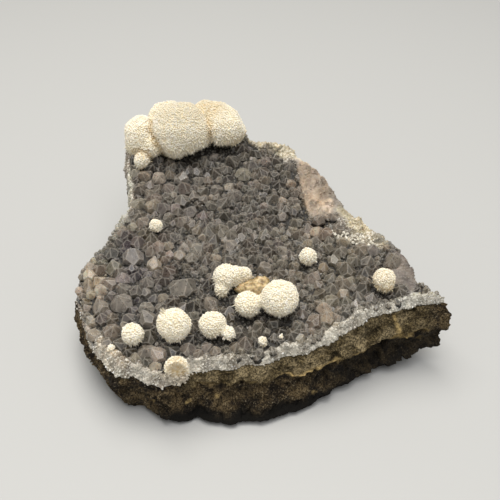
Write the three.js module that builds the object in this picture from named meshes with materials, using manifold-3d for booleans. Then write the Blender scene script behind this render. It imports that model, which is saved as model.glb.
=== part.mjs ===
// Okenite puffballs on an amethyst druse: a hand specimen broken from the wall of a basalt cavity.
// Millimetres, +Z up. The origin lies on the flat resting face, under the middle of the druse; the specimen's
// low broken front faces -Y and its high back, with the large puffballs, faces +Y.
import * as THREE from "three";
import { mergeVertices } from "three/addons/utils/BufferGeometryUtils.js";
import Module from "manifold-3d";

const wasm = await Module();
wasm.setup();

// ---- driving dimensions ---------------------------------------------------------------------------------
const CRUST = 4; // thickness of the quartz crust under its crystals
const SEAT = 0.3; // clearance between neighbouring pieces
const MIDDLE = [0, -12]; // the point that the rings of the rock and the crust shrink towards
const CAP_STEPS = [1, 0.7, 0.35]; // rings between the edge and the middle of a cap

// The rim of the specimen in plan, anticlockwise from the front left corner.
const RIM = [
  [-48, -74], [-42.5, -73.5], [-37, -76.5], [-31.5, -78], [-26.5, -76.5], [-23.5, -74], [-21, -71.5],
  [-14, -71.5], [-7, -72], [-3.5, -70], [3.5, -70], [8, -68.5], [12.5, -66.5], [20.5, -65.5], [26, -63],
  [31, -60.5], [37, -57], [42, -54], [46, -51], [52, -49.5], [60, -48], [68, -47], [75.5, -46], [70, -42.5],
  [65.5, -38.5], [65.5, -31.5], [63, -25.5], [59, -20], [54, -14], [50, -8], [42.5, 0.5], [40.5, 4.5],
  [35, 17], [28.5, 26.5], [21.5, 32], [19, 38], [12, 40.5], [0, 43.5], [-4, 51], [-10, 57.5], [-19, 60.5],
  [-28, 59.5], [-37, 61], [-46, 58], [-53, 53.5], [-57.5, 48], [-58.5, 41], [-57.5, 32], [-57, 26],
  [-55.5, 19.5], [-53, 9], [-56, 1], [-59.5, -10], [-63, -15.5], [-67.5, -20], [-70.5, -26], [-70.5, -37],
  [-66.5, -47], [-62, -57], [-56.5, -65],
];

// ---- helpers --------------------------------------------------------------------------------------------
const { clamp, lerp, smoothstep } = THREE.MathUtils;
const next = (i) => (i + 1) % RIM.length;

// A repeatable source of random numbers from 0 to 1.
function randomFrom(seed) {
  let state = seed >>> 0;
  return () => {
    state = (state + 0x6d2b79f5) >>> 0;
    let t = Math.imul(state ^ (state >>> 15), 1 | state);
    t = (t + Math.imul(t ^ (t >>> 7), 61 | t)) ^ t;
    return ((t ^ (t >>> 14)) >>> 0) / 4294967296;
  };
}

// Smooth value noise from -1 to 1 in three dimensions, with one lump per unit.
function noise(x, y, z) {
  const cell = [Math.floor(x), Math.floor(y), Math.floor(z)];
  const at = [x - cell[0], y - cell[1], z - cell[2]].map((t) => t * t * (3 - 2 * t));
  const corner = (i, j, k) => {
    const h = Math.sin((cell[0] + i) * 127.1 + (cell[1] + j) * 311.7 + (cell[2] + k) * 74.7) * 43758.5453;
    return 2 * (h - Math.floor(h)) - 1;
  };
  const along = (j, k) => lerp(corner(0, j, k), corner(1, j, k), at[0]);
  return lerp(lerp(along(0, 0), along(1, 0), at[1]), lerp(along(0, 1), along(1, 1), at[1]), at[2]);
}

// A closed three.js geometry as a solid.
function solid(geometry) {
  const bare = geometry.index ? geometry.toNonIndexed() : geometry.clone();
  for (const name of ["normal", "uv"]) bare.deleteAttribute(name);
  const merged = mergeVertices(bare, 1e-4);
  return new wasm.Manifold(
    new wasm.Mesh({
      numProp: 3,
      vertProperties: merged.attributes.position.array,
      triVerts: new Uint32Array(merged.index.array),
    }),
  );
}

// A solid back as a geometry with flat faces.
function geometryOf(made) {
  const { numProp, vertProperties, triVerts } = made.getMesh();
  const positions = new Float32Array(triVerts.length * 3);
  triVerts.forEach((v, i) => positions.set(vertProperties.subarray(v * numProp, v * numProp + 3), i * 3));
  const geometry = new THREE.BufferGeometry();
  geometry.setAttribute("position", new THREE.BufferAttribute(positions, 3));
  geometry.computeVertexNormals();
  return geometry;
}

const union = (solids) => wasm.Manifold.union(solids);

// The largest body of a solid, with any pocket sealed inside it filled and any loose chip left out.
function wholeBody(made) {
  return made.decompose().reduce((a, b) => (b.volume() > a.volume() ? b : a));
}

// The half of space on the far side of a plane, as a block to cut with.
function blockBeyond(point, unitNormal, size = 200) {
  const block = new THREE.BoxGeometry(size, size, size).translate(0, 0, size / 2);
  const turn = new THREE.Quaternion().setFromUnitVectors(new THREE.Vector3(0, 0, 1), unitNormal);
  return solid(block.applyQuaternion(turn).translate(point.x, point.y, point.z));
}

// ---- the growth surface ---------------------------------------------------------------------------------
// Height of the quartz crust's top, where the crystals root: a shallow dish that climbs to the back, sags at
// its left edge and lifts to a lip along its right rear edge.
function bedHeight(x, y) {
  const plane = 42.5 + 0.045 * x + 0.235 * y;
  const dish = 4.5 * Math.exp(-1.3 * (((x - 2) / 62) ** 2 + ((y + 12) / 58) ** 2));
  const back = 3 * smoothstep(y, 10, 50);
  const left = 4 * smoothstep(-x, 48, 76) * smoothstep(-y, -10, 30);
  const lip = 1.2 * smoothstep(x + 0.68 * y, 38, 50) * smoothstep(y, -12, 6);
  return plane - dish + back - left + lip + 0.7 * noise(x / 17, y / 17, 3);
}

function bedNormal(x, y) {
  const step = 1;
  const dx = (bedHeight(x + step, y) - bedHeight(x - step, y)) / (2 * step);
  const dy = (bedHeight(x, y + step) - bedHeight(x, y - step)) / (2 * step);
  return new THREE.Vector3(-dx, -dy, 1).normalize();
}

// The rim's points, each with its reach and its outward direction from the middle.
const rim = RIM.map(([x, y]) => {
  const out = new THREE.Vector2(x - MIDDLE[0], y - MIDDLE[1]);
  return { x, y, reach: out.length(), out: out.clone().normalize() };
});

// The rim moved outward by a distance in millimetres and shrunk towards the middle.
function rimPoint(p, outward, share = 1) {
  const reach = (p.reach + outward) * share;
  return [MIDDLE[0] + p.out.x * reach, MIDDLE[1] + p.out.y * reach];
}

const fromMiddle = ([x, y]) => Math.hypot(x - MIDDLE[0], y - MIDDLE[1]);

// A closed skin over rings that run from the middle of the lower cap, out, up and back to the middle of the
// upper cap. Each ring has a point for each of the rim's, and the caps close on one point each. Quads are cut
// from their outer ring to the next point of their inner one, so that caps at two depths have parallel faces.
function loft(rings, lowest, highest) {
  const at = [];
  const triangle = (...corners) => corners.forEach((c) => at.push(...c));
  for (let i = 0; i < RIM.length; i++) {
    triangle(lowest, rings[0][next(i)], rings[0][i]);
    triangle(highest, rings.at(-1)[i], rings.at(-1)[next(i)]);
    for (let r = 1; r < rings.length; r++) {
      const [below, above] = [rings[r - 1], rings[r]];
      const widens = fromMiddle(above[i]) > fromMiddle(below[i]);
      const [cutFrom, cutTo] = widens ? [below[next(i)], above[i]] : [below[i], above[next(i)]];
      triangle(below[i], below[next(i)], cutTo);
      triangle(cutFrom, above[next(i)], above[i]);
    }
  }
  const geometry = new THREE.BufferGeometry();
  geometry.setAttribute("position", new THREE.Float32BufferAttribute(at, 3));
  return geometry;
}

// The rings of a cap that follows the growth surface at a depth below it, from the edge inwards.
function capRings(depth, outward) {
  return CAP_STEPS.map((share) =>
    rim.map((p) => {
      const [x, y] = rimPoint(p, outward, share);
      return [x, y, bedHeight(x, y) - depth];
    }),
  );
}

const capMiddle = (depth) => [...MIDDLE, bedHeight(...MIDDLE) - depth];

// ---- basalt matrix --------------------------------------------------------------------------------------
// The broken faces of the rock, by how far the foot stands out from the rim and how high it hangs, and by how
// far the ledge at the bottom of its upper band leans out and how far it lies under the crust.
const SIDE_FACE = { footOut: -6, footLift: 0, ledgeOut: 1.5, ledgeDrop: 11 };
const FRONT_FACE = [
  { x: -48, footOut: -2.5, footLift: 0, ledgeOut: 1.5, ledgeDrop: 5 },
  { x: -24, footOut: -1, footLift: 0, ledgeOut: 1.5, ledgeDrop: 3 },
  { x: -15, footOut: 4, footLift: 0, ledgeOut: 2, ledgeDrop: 2.5 },
  { x: 4, footOut: 5.5, footLift: 0, ledgeOut: 3.3, ledgeDrop: 4.5 },
  { x: 36, footOut: 4, footLift: 0, ledgeOut: 4.5, ledgeDrop: 7 },
  { x: 54, footOut: 3, footLift: 4, ledgeOut: 5, ledgeDrop: 7.5 },
  { x: 63, footOut: 3, footLift: 8, ledgeOut: 4.5, ledgeDrop: 8 },
  { x: 74, footOut: 2, footLift: 11, ledgeOut: 3, ledgeDrop: 11 },
];

// The face at a point of the rim: the front's where it faces forward, and the sides' elsewhere.
function faceAt(p) {
  const right = Math.max(1, FRONT_FACE.findIndex((face) => face.x > p.x));
  const [from, to] = p.x >= FRONT_FACE.at(-1).x ? FRONT_FACE.slice(-2) : FRONT_FACE.slice(right - 1, right + 1);
  const share = clamp((p.x - from.x) / (to.x - from.x), 0, 1);
  const front = smoothstep(-p.y, 28, 52);
  const blend = (key) => lerp(SIDE_FACE[key], lerp(from[key], to[key], share), front);
  return { front, ...Object.fromEntries(Object.keys(SIDE_FACE).map((key) => [key, blend(key)])) };
}

// The side of the rock at a point of the rim, from the foot up: stepped and hackly at the back, and drawn in to
// the flat resting face.
function basaltSide(p) {
  const { front, footOut, footLift, ledgeOut, ledgeDrop } = faceAt(p);
  const top = bedHeight(p.x, p.y) - CRUST;
  const ledge = top - ledgeDrop;
  const level = (outward, z, rough) => {
    const coarse = lerp(5, 0.4, front) * noise(p.x / 19, p.y / 19, z / 13);
    const fine = lerp(1.8, 0.9, front) * noise(p.x / 5, p.y / 5, z / 4);
    const upDown = lerp(2, 0.8, front) * noise(p.y / 6, z, p.x / 6);
    return [...rimPoint(p, outward + rough * (coarse + fine)), z + rough * upDown];
  };
  const hang = smoothstep(p.x, 38, 64) * smoothstep(-p.y, -20, 20);
  const recess = lerp(0.5, lerp(1, 2.5, smoothstep(p.x, 10, 40)), front);
  const footEdge = level(footOut, Math.max(footLift, 2.2), lerp(0.9, 0.5, front));
  const footReach = fromMiddle(footEdge) - p.reach;
  return [
    [...rimPoint(p, footReach - 2 - 26 * hang), 0],
    footEdge,
    level(lerp(footOut, ledgeOut, 0.3) - recess, lerp(footLift, ledge, 0.4), 1),
    level(lerp(footOut, ledgeOut, 0.7) - recess, lerp(footLift, ledge, 0.7), 1),
    level(ledgeOut - lerp(2, 1.5, front), ledge - 2, 0.7),
    level(ledgeOut, ledge, 0.5),
    level(0.45 * ledgeOut, lerp(ledge, top, 0.6), 0.6),
  ];
}

function basaltMatrix() {
  const sides = rim.map(basaltSide);
  const sideRings = sides[0].map((_, level) => sides.map((side) => side[level]));
  return loft([...sideRings, ...capRings(CRUST, 0)], [...MIDDLE, 0], capMiddle(CRUST));
}

// ---- okenite --------------------------------------------------------------------------------------------
// A lump of radiating fibres out to their tips: a ball or an oval whose surface swells a little unevenly.
// The pocket that it leaves in the crust is cut with fewer faces, and clears them by the seat.
function puff({ at, radius, oval = [1, 1, 1], detail = 2, lumps = 0.05 }, pocket = false) {
  const coarse = Math.max(1, detail - 1);
  const grow = pocket ? SEAT + 0.3 * radius / (coarse + 1) ** 2 : 0;
  const ball = new THREE.IcosahedronGeometry(1, pocket ? coarse : detail);
  const place = ball.attributes.position;
  const v = new THREE.Vector3();
  for (let i = 0; i < place.count; i++) {
    v.fromBufferAttribute(place, i).normalize();
    const swell = 1 + lumps * noise(v.x * 1.9 + at[0], v.y * 1.9 + at[1], v.z * 1.9 + at[2]);
    const reach = radius * swell + grow;
    place.setXYZ(i, v.x * oval[0] * reach, v.y * oval[1] * reach, v.z * oval[2] * reach);
  }
  return solid(ball.translate(...at));
}

// Where a ball's middle lies over a point of the growth surface, sunk into the crystals by a share of its size.
function onBed(x, y, radius, standing = 0.72, over = 1.5) {
  return [x, y, bedHeight(x, y) + standing * radius + over];
}

const ball = (x, y, radius, more = {}) => ({ at: onBed(x, y, radius, more.standing), radius, ...more });

// Each piece of okenite: the lumps that grew together, and the planes along which it is broken.
const OKENITE = {
  okenite_cluster: {
    lumps: [
      { at: [-31.8, 38.5, 61.2], radius: 13.6, oval: [1, 1, 0.97], detail: 3 },
      { at: [-49.6, 39.5, 57.2], radius: 10, oval: [0.9, 1, 1.05] },
      { at: [-11.2, 42, 61.2], radius: 9.8, oval: [1, 1, 0.95] },
      { at: [-17, 51.5, 61.4], radius: 10, oval: [1.1, 0.9, 0.78], detail: 1 },
      { at: [-38, 50.5, 60.8], radius: 10, oval: [1.1, 0.9, 0.93], detail: 1 },
      { at: [-49, 28.6, 51.8], radius: 4.2, detail: 1 },
    ],
    breaks: [
      { point: [-57.6, 38, 58], normal: [-1, 0, 0.06] },
      { point: [-4.6, 42, 66], normal: [0.9, 0.1, 0.42] },
      { point: [-30, 59.5, 60], normal: [0.08, 1, 0.12] },
    ],
  },
  okenite_kidney: {
    lumps: [
      ball(-9.8, -35.2, 5.3, { standing: 0.62 }),
      ball(-3.6, -32, 4.4, { standing: 0.75 }),
      ball(-11.2, -40, 2.9, { detail: 1, standing: 0.6 }),
    ],
  },
  okenite_twin_large: {
    lumps: [ball(11, -48.8, 7.7, { lumps: 0.035 }), ball(-0.9, -48.9, 5.4, { standing: 0.64 })],
  },
  okenite_twin_small: {
    lumps: [ball(-13.7, -58.3, 5.3), ball(-7.8, -61.4, 3, { detail: 1 })],
  },
  okenite_ball_front: { lumps: [ball(-28.1, -59.5, 6.6)] },
  okenite_ball_corner: { lumps: [ball(-43.1, -62.1, 4.4)] },
  okenite_ball_left: { lumps: [ball(-39.6, -8.1, 3.4)] },
  okenite_ball_rear: { lumps: [ball(23.4, -25.5, 3.9)] },
  okenite_ball_right: { lumps: [ball(51.6, -40.9, 4.6, { oval: [1, 1, 1.08], lumps: 0.09 })] },
  okenite_broken_ball: {
    lumps: [ball(-26.3, -74.6, 4.6, { standing: 0.2 })],
    breaks: [{ point: [-26.3, -77.2, 25], normal: [0.15, -1, 0.25] }],
  },
  okenite_tuft_front: { lumps: [ball(4.6, -63.6, 2, { detail: 1, standing: 0.3, lumps: 0.12 })] },
  okenite_tuft_small: { lumps: [ball(11.4, -62, 1.2, { detail: 1, standing: 0.5, lumps: 0.12 })] },
  okenite_tuft_left: { lumps: [ball(-51, -65.8, 1.8, { detail: 1, standing: 0.3, lumps: 0.12 })] },
};

function okenite({ lumps, breaks = [] }, pocket = false) {
  let made = union(lumps.map((lump) => puff(lump, pocket)));
  for (const { point, normal } of breaks) {
    const out = new THREE.Vector3(...normal).normalize();
    const at = new THREE.Vector3(...point).addScaledVector(out, pocket ? SEAT : 0);
    made = made.subtract(blockBeyond(at, out));
  }
  return made;
}

// The honey-brown lump of gyrolite that the kidney grew round.
const GYROLITE = [
  { at: onBed(0.6, -37.4, 5.2, 0.02, 0.6), radius: 5.4, oval: [1.25, 0.85, 0.6], detail: 1, lumps: 0.2 },
];

// ---- quartz druse ---------------------------------------------------------------------------------------
const CRYSTAL_SPACING = 6.6; // between the points of neighbouring small crystals
const RIM_LEAN = 0.33; // how far the crust's broken edge draws in for each millimetre that it rises

// A closed block under a sheet of upward-facing triangles, its floor the same sheet lower down.
function blockUnder(triangles, depth) {
  const at = [];
  const key = (p) => p.map((c) => c.toFixed(5)).join();
  const low = ([x, y, z]) => [x, y, z - depth];
  const open = new Map();
  for (const corners of triangles) {
    at.push(...corners.flat(), ...corners.map(low).reverse().flat());
    corners.forEach((from, i) => {
      const to = corners[(i + 1) % 3];
      if (!open.delete(key(to) + key(from))) open.set(key(from) + key(to), [from, to]);
    });
  }
  for (const [from, to] of open.values()) {
    at.push(...from, ...low(from), ...low(to), ...from, ...low(to), ...to);
  }
  const geometry = new THREE.BufferGeometry();
  geometry.setAttribute("position", new THREE.Float32BufferAttribute(at, 3));
  return solid(geometry);
}

// The field of small crystals: six-sided points with flat faces that meet in the valleys between them.
function crystalField() {
  const random = randomFrom(5);
  const [columns, rows] = [26, 29];
  const centres = Array.from({ length: rows }, (_, row) =>
    Array.from({ length: columns }, (_, column) => [
      -78 + (column + (row % 2) / 2 + 0.42 * (random() - 0.5)) * CRYSTAL_SPACING,
      -86 + (row * 0.866 + 0.42 * (random() - 0.5)) * CRYSTAL_SPACING,
    ]),
  );
  const valleys = new Map();
  const valley = (...cells) => {
    const name = cells.map((cell) => cell.join()).sort().join(";");
    if (!valleys.has(name)) {
      const middle = (k) => cells.reduce((sum, [row, column]) => sum + centres[row][column][k], 0) / 3;
      const [x, y] = [middle(0), middle(1)];
      valleys.set(name, [x, y, bedHeight(x, y) + lerp(-0.9, 0.5, random())]);
    }
    return valleys.get(name);
  };
  const triangles = [];
  for (let row = 1; row < rows - 1; row++) {
    for (let column = 1; column < columns - 1; column++) {
      const side = row % 2;
      const round = [
        [row, column + 1], [row + 1, column + side], [row + 1, column + side - 1],
        [row, column - 1], [row - 1, column + side - 1], [row - 1, column + side],
      ];
      const corners = round.map((cell, i) => valley([row, column], cell, round[(i + 1) % 6]));
      const [x, y] = centres[row][column].map((c) => c + 1.3 * (random() - 0.5));
      const tip = [x, y, bedHeight(x, y) + lerp(1.7, 3.8, random()) * (1 - 0.8 * smoothstep(x, 64, 72))];
      corners.forEach((corner, i) => triangles.push([tip, corner, corners[(i + 1) % 6]]));
    }
  }
  return blockUnder(triangles, 12);
}

// One of the larger crystals: a stub of a six-sided prism under a six-sided point.
function largeCrystal([x, y, radius, lean = [0, 0], spin = 0]) {
  const root = 1.4;
  const shoulder = 0.55 * radius;
  const tip = shoulder + 0.8 * radius;
  const profile = [[0, -root], [radius, -root], [radius, shoulder], [0, tip]];
  const column = new THREE.LatheGeometry(profile.map(([r, h]) => new THREE.Vector2(r, h)), 6);
  const stand = bedNormal(x, y).add(new THREE.Vector3(...lean, 0)).normalize();
  const turn = new THREE.Quaternion().setFromUnitVectors(new THREE.Vector3(0, 1, 0), stand);
  return solid(column.rotateY(spin).applyQuaternion(turn).translate(x, y, bedHeight(x, y)));
}

// The crystals that stand out: plan place, radius, lean and turn.
const LARGE_CRYSTALS = [
  [-38, -19, 4.2, [0.1, -0.1], 0.3], [-23, -32, 5.6, [-0.1, -0.25], 0.1], [-42, -47, 4.4, [0.15, 0], 0.6],
  [-52, -37, 4.6, [-0.2, -0.1], 0.2], [-56, -52, 4.4, [0.25, -0.1], 0.5], [-46, -23, 4, [0, 0.2], 0.9],
  [-31, 17, 4.4, [0.1, -0.2], 0.2], [-45, 17, 4, [-0.2, -0.1], 0.7], [-12, 22, 4.3, [0.15, 0.1], 0.5],
  [6, 12, 3.8, [-0.15, -0.1], 0.1], [37, -30, 4.4, [0.1, 0.15], 0.8], [55, -30, 4.2, [-0.1, 0.1], 0.2],
  [28, -51, 3.9, [-0.1, -0.2], 0.9], [20, 22, 3.8, [0.2, -0.1], 0.8],
];

function quartzDruse(pieces) {
  const under = CRUST - SEAT;
  const headroom = 12;
  const region = loft(
    [...capRings(under, 0).reverse(), ...capRings(-headroom, -RIM_LEAN * (under + headroom))],
    capMiddle(under),
    capMiddle(-headroom),
  );
  const crust = union([crystalField(), ...LARGE_CRYSTALS.map(largeCrystal)]).intersect(solid(region));
  return wholeBody(crust.subtract(union(pieces)));
}

// ---- the specimen ---------------------------------------------------------------------------------------
const finishes = {
  basalt: new THREE.MeshStandardMaterial({ color: 0x2e2922, roughness: 0.9, metalness: 0 }),
  quartz: new THREE.MeshStandardMaterial({ color: 0x6b6468, roughness: 0.25, metalness: 0 }),
  okenite: new THREE.MeshStandardMaterial({ color: 0xe9dfcb, roughness: 0.95, metalness: 0 }),
  gyrolite: new THREE.MeshStandardMaterial({ color: 0xa08050, roughness: 0.5, metalness: 0 }),
};

const specimen = new THREE.Group();
function add(name, geometry, finish) {
  const mesh = new THREE.Mesh(geometry, finish);
  mesh.name = name;
  specimen.add(mesh);
}

const okenitePockets = Object.values(OKENITE).map((piece) => okenite(piece, true));
const rock = solid(basaltMatrix()).subtract(union(okenitePockets));
const gyrolitePocket = union(GYROLITE.map((lump) => puff(lump, true)));

add("basalt_matrix", geometryOf(wholeBody(rock)), finishes.basalt);
add("quartz_druse", geometryOf(quartzDruse([...okenitePockets, gyrolitePocket])), finishes.quartz);
add(
  "gyrolite_lump",
  geometryOf(wholeBody(union(GYROLITE.map((lump) => puff(lump))).subtract(union(okenitePockets)))),
  finishes.gyrolite,
);
for (const [name, piece] of Object.entries(OKENITE)) {
  add(name, geometryOf(wholeBody(okenite(piece))), finishes.okenite);
}

export default specimen;
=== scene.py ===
"""Okenite puffballs on an amethyst druse: the finished specimen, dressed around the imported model.

Metres, in the CAD's own frame: +X to the right, +Y to the back, +Z up, the flat foot on z = 0.
Lengths that belong to the mineral are given in millimetres and turned to metres by MM.
"""

import itertools
import math
from functools import partial

import bpy
import numpy as np
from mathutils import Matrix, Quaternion, Vector
from mathutils.bvhtree import BVHTree
from mathutils.kdtree import KDTree


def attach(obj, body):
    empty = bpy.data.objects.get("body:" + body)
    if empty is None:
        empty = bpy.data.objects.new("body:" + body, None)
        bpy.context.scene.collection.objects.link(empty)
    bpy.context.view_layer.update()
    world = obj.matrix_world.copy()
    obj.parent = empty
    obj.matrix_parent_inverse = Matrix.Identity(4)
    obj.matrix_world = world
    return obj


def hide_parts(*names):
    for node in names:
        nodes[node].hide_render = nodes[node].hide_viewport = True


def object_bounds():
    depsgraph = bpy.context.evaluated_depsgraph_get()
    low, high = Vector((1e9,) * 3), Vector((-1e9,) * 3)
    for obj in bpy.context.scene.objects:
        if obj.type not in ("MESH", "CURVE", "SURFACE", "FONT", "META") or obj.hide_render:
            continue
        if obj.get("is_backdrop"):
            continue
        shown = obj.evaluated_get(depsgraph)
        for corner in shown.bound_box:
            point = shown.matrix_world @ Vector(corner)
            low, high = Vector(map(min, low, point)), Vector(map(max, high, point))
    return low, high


MM = 0.001

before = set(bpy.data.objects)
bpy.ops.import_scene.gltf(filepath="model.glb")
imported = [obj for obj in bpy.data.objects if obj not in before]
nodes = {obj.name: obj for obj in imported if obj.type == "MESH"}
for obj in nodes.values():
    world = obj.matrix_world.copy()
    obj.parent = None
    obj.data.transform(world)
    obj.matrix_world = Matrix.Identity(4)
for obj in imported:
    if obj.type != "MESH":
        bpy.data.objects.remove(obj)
cad_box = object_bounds()
OKENITE_NODES = sorted(name for name in nodes if name.startswith("okenite"))


# ---- small helpers ----------------------------------------------------------------------------------------
def smoothstep(low, high, value):
    share = np.clip((value - low) / (high - low), 0, 1)
    return share * share * (3 - 2 * share)


def lerp(start, end, share):
    return start + (end - start) * share


def unit(vectors):
    return vectors / np.maximum(np.linalg.norm(vectors, axis=-1, keepdims=True), 1e-12)


def lattice_noise(x, y, z):
    """Smooth value noise from -1 to 1 with one lump per unit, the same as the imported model's."""
    point = np.stack(np.broadcast_arrays(x, y, z), -1).astype(float)
    cell = np.floor(point)
    share = point - cell
    share = share * share * (3 - 2 * share)

    def corner(i, j, k):
        spot = (cell[..., 0] + i) * 127.1 + (cell[..., 1] + j) * 311.7 + (cell[..., 2] + k) * 74.7
        value = np.sin(spot) * 43758.5453
        return 2 * (value - np.floor(value)) - 1

    def along(j, k):
        return lerp(corner(0, j, k), corner(1, j, k), share[..., 0])

    near = lerp(along(0, 0), along(1, 0), share[..., 1])
    far = lerp(along(0, 1), along(1, 1), share[..., 1])
    return lerp(near, far, share[..., 2])


def chance(cells, seed):
    """Three even random numbers for each whole-numbered cell."""
    mix = np.array([[127.1, 269.5, 113.5], [311.7, 183.3, 271.9], [74.7, 246.1, 124.6]])
    value = np.sin(cells @ mix + seed * 17.3) * 43758.5453
    return value - np.floor(value)


def nearest_cells(place, size, seed=0):
    """Scattered seeds, one to a cube of the given size. For each place: how far its nearest and second
    nearest seeds are, in cubes, three random numbers of the nearest, and the way from it in millimetres."""
    at = place / size
    cube = np.floor(at)
    first, second = np.full(len(at), 9.0), np.full(len(at), 9.0)
    luck, way = np.zeros_like(at), np.zeros_like(at)
    for step in itertools.product((-1, 0, 1), repeat=3):
        beside = cube + step
        offset = at - beside - chance(beside, seed)
        distance = np.linalg.norm(offset, axis=1)
        nearer = distance < first
        second = np.where(nearer, first, np.minimum(second, distance))
        first = np.where(nearer, distance, first)
        luck[nearer] = chance(beside[nearer], seed + 5)
        way[nearer] = offset[nearer] * size
    return first, second, luck, way


def bed_height(x, y):
    """Height of the growth surface where the quartz points root, in millimetres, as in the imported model."""
    plane = 42.5 + 0.045 * x + 0.235 * y
    dish = 4.5 * np.exp(-1.3 * (((x - 2) / 62) ** 2 + ((y + 12) / 58) ** 2))
    back = 3 * smoothstep(10, 50, y)
    left = 4 * smoothstep(48, 76, -x) * smoothstep(-10, 30, -y)
    lip = 1.2 * smoothstep(38, 50, x + 0.68 * y) * smoothstep(-12, 6, y)
    return plane - dish + back - left + lip + 0.7 * lattice_noise(x / 17, y / 17, 3)


def bed_normal(x, y, step=1.0):
    dx = (bed_height(x + step, y) - bed_height(x - step, y)) / (2 * step)
    dy = (bed_height(x, y + step) - bed_height(x, y - step)) / (2 * step)
    return unit(np.stack([-dx, -dy, np.ones_like(dx)], -1))


# ---- meshes -----------------------------------------------------------------------------------------------
def new_piece(name, vertices_mm, faces):
    """A mesh object at the origin, from points in millimetres."""
    mesh = bpy.data.meshes.new(name)
    mesh.from_pydata((np.asarray(vertices_mm) * MM).tolist(), [], [list(map(int, face)) for face in faces])
    mesh.update()
    piece = bpy.data.objects.new(name, mesh)
    bpy.context.scene.collection.objects.link(piece)
    return piece


def only(piece):
    """Make a piece the one selected and active object."""
    bpy.ops.object.select_all(action="DESELECT")
    piece.select_set(True)
    bpy.context.view_layer.objects.active = piece
    return piece


def merged_copy(node, name):
    """A copy of a CAD node as a new piece, its loose triangles merged to one skin."""
    piece = bpy.data.objects.new(name, nodes[node].data.copy())
    piece.data.materials.clear()
    bpy.context.scene.collection.objects.link(piece)
    only(piece)
    bpy.ops.object.mode_set(mode="EDIT")
    bpy.ops.mesh.select_all(action="SELECT")
    bpy.ops.mesh.remove_doubles(threshold=0.001 * MM)
    bpy.ops.object.mode_set(mode="OBJECT")
    return piece


def apply_modifier(piece, kind, **settings):
    modifier = piece.modifiers.new(kind, kind)
    for key, value in settings.items():
        setattr(modifier, key, value)
    only(piece)
    bpy.ops.object.modifier_apply(modifier=modifier.name)


def points_of(piece):
    """A piece's vertices, in millimetres."""
    flat = np.empty(len(piece.data.vertices) * 3)
    piece.data.vertices.foreach_get("co", flat)
    return flat.reshape(-1, 3) / MM


def normals_of(piece):
    flat = np.empty(len(piece.data.vertices) * 3)
    piece.data.vertices.foreach_get("normal", flat)
    return flat.reshape(-1, 3)


def move_points(piece, points_mm):
    piece.data.vertices.foreach_set("co", (points_mm * MM).ravel())
    piece.data.update()


def set_attribute(piece, name, values, domain="POINT"):
    attribute = piece.data.attributes.new(name, "FLOAT", domain)
    attribute.data.foreach_set("value", np.asarray(values, np.float32))


def set_colours(piece, name, colours, domain="FACE"):
    """Linear RGBA colours, one for each face or point."""
    attribute = piece.data.attributes.new(name, "FLOAT_COLOR", domain)
    attribute.data.foreach_set("color", np.asarray(colours, np.float32).ravel())


def set_pairs(piece, name, pairs):
    """A UV map that holds two measures for each corner of each face."""
    layer = piece.data.uv_layers.new(name=name)
    layer.data.foreach_set("uv", np.asarray(pairs, np.float32).ravel())


def joined(pieces):
    """Several pieces as one, under the first one's name."""
    only(pieces[0])
    for piece in pieces[1:]:
        piece.select_set(True)
    bpy.ops.object.join()
    return pieces[0]


def finish(piece, material, node):
    """Give a finished piece its material and its place in the model."""
    piece.data.materials.clear()
    piece.data.materials.append(material)
    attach(piece, "root")
    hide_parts(node)
    return piece


def tree_of(names):
    """A search tree over several CAD nodes, in metres."""
    vertices, faces = [], []
    for name in names:
        start = len(vertices)
        vertices += [vertex.co for vertex in nodes[name].data.vertices]
        faces += [[start + index for index in face.vertices] for face in nodes[name].data.polygons]
    return BVHTree.FromPolygons(vertices, faces)


# ---- repeated shapes --------------------------------------------------------------------------------------
def spikes(root, tip, radius, sides, random, waist=None):
    """Closed cones from roots to tips, in millimetres. A waist is a share of the length and of the radius,
    which gives a blunt cone. Returns the points, the triangles and each point's share of the way to the
    tip."""
    count = len(root)
    axis = unit(tip - root)
    side = unit(np.cross(axis, random.normal(size=(count, 3))))
    across = np.cross(axis, side)
    rings = [(0.0, 1.0)] + ([waist] if waist else [])
    points, shares = [], []
    for along, wide in rings:
        for step in range(sides):
            angle = 2 * math.pi * step / sides
            spoke = math.cos(angle) * side + math.sin(angle) * across
            points.append(lerp(root, tip, along) + spoke * (wide * radius)[:, None])
            shares.append(along)
    points.append(tip)
    shares.append(1.0)
    faces = [(0, step + 1, step) for step in range(1, sides - 1)]
    for ring in range(len(rings) - 1):
        low, high = ring * sides, (ring + 1) * sides
        for step in range(sides):
            beside = (step + 1) % sides
            faces += [(low + step, low + beside, high + beside), (low + step, high + beside, high + step)]
    last = (len(rings) - 1) * sides
    faces += [(last + step, last + (step + 1) % sides, len(points) - 1) for step in range(sides)]
    own = len(points)
    cloud = np.stack(points, 1).reshape(-1, 3)
    triangles = (own * np.arange(count)[:, None, None] + np.array(faces)).reshape(-1, 3)
    return cloud, triangles, np.tile(shares, count)


def grains(place, axis, radius, length, random, sides=6):
    """Double-ended quartz crystals, each of them two pyramids on one six-sided girdle."""
    count = len(place)
    side = unit(np.cross(axis, random.normal(size=(count, 3))))
    across = np.cross(axis, side)
    points = [place - axis * length[:, None]]
    for step in range(sides):
        angle = 2 * math.pi * step / sides
        reach = radius * random.uniform(0.85, 1.15, count)
        points.append(place + (math.cos(angle) * side + math.sin(angle) * across) * reach[:, None])
    points.append(place + axis * length[:, None] * random.uniform(0.7, 1.1, (count, 1)))
    ring = [(1 + step, 1 + (step + 1) % sides) for step in range(sides)]
    faces = [(0, b, a) for a, b in ring] + [(a, b, sides + 1) for a, b in ring]
    cloud = np.stack(points, 1).reshape(-1, 3)
    triangles = ((sides + 2) * np.arange(count)[:, None, None] + np.array(faces)).reshape(-1, 3)
    return cloud, triangles


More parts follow.
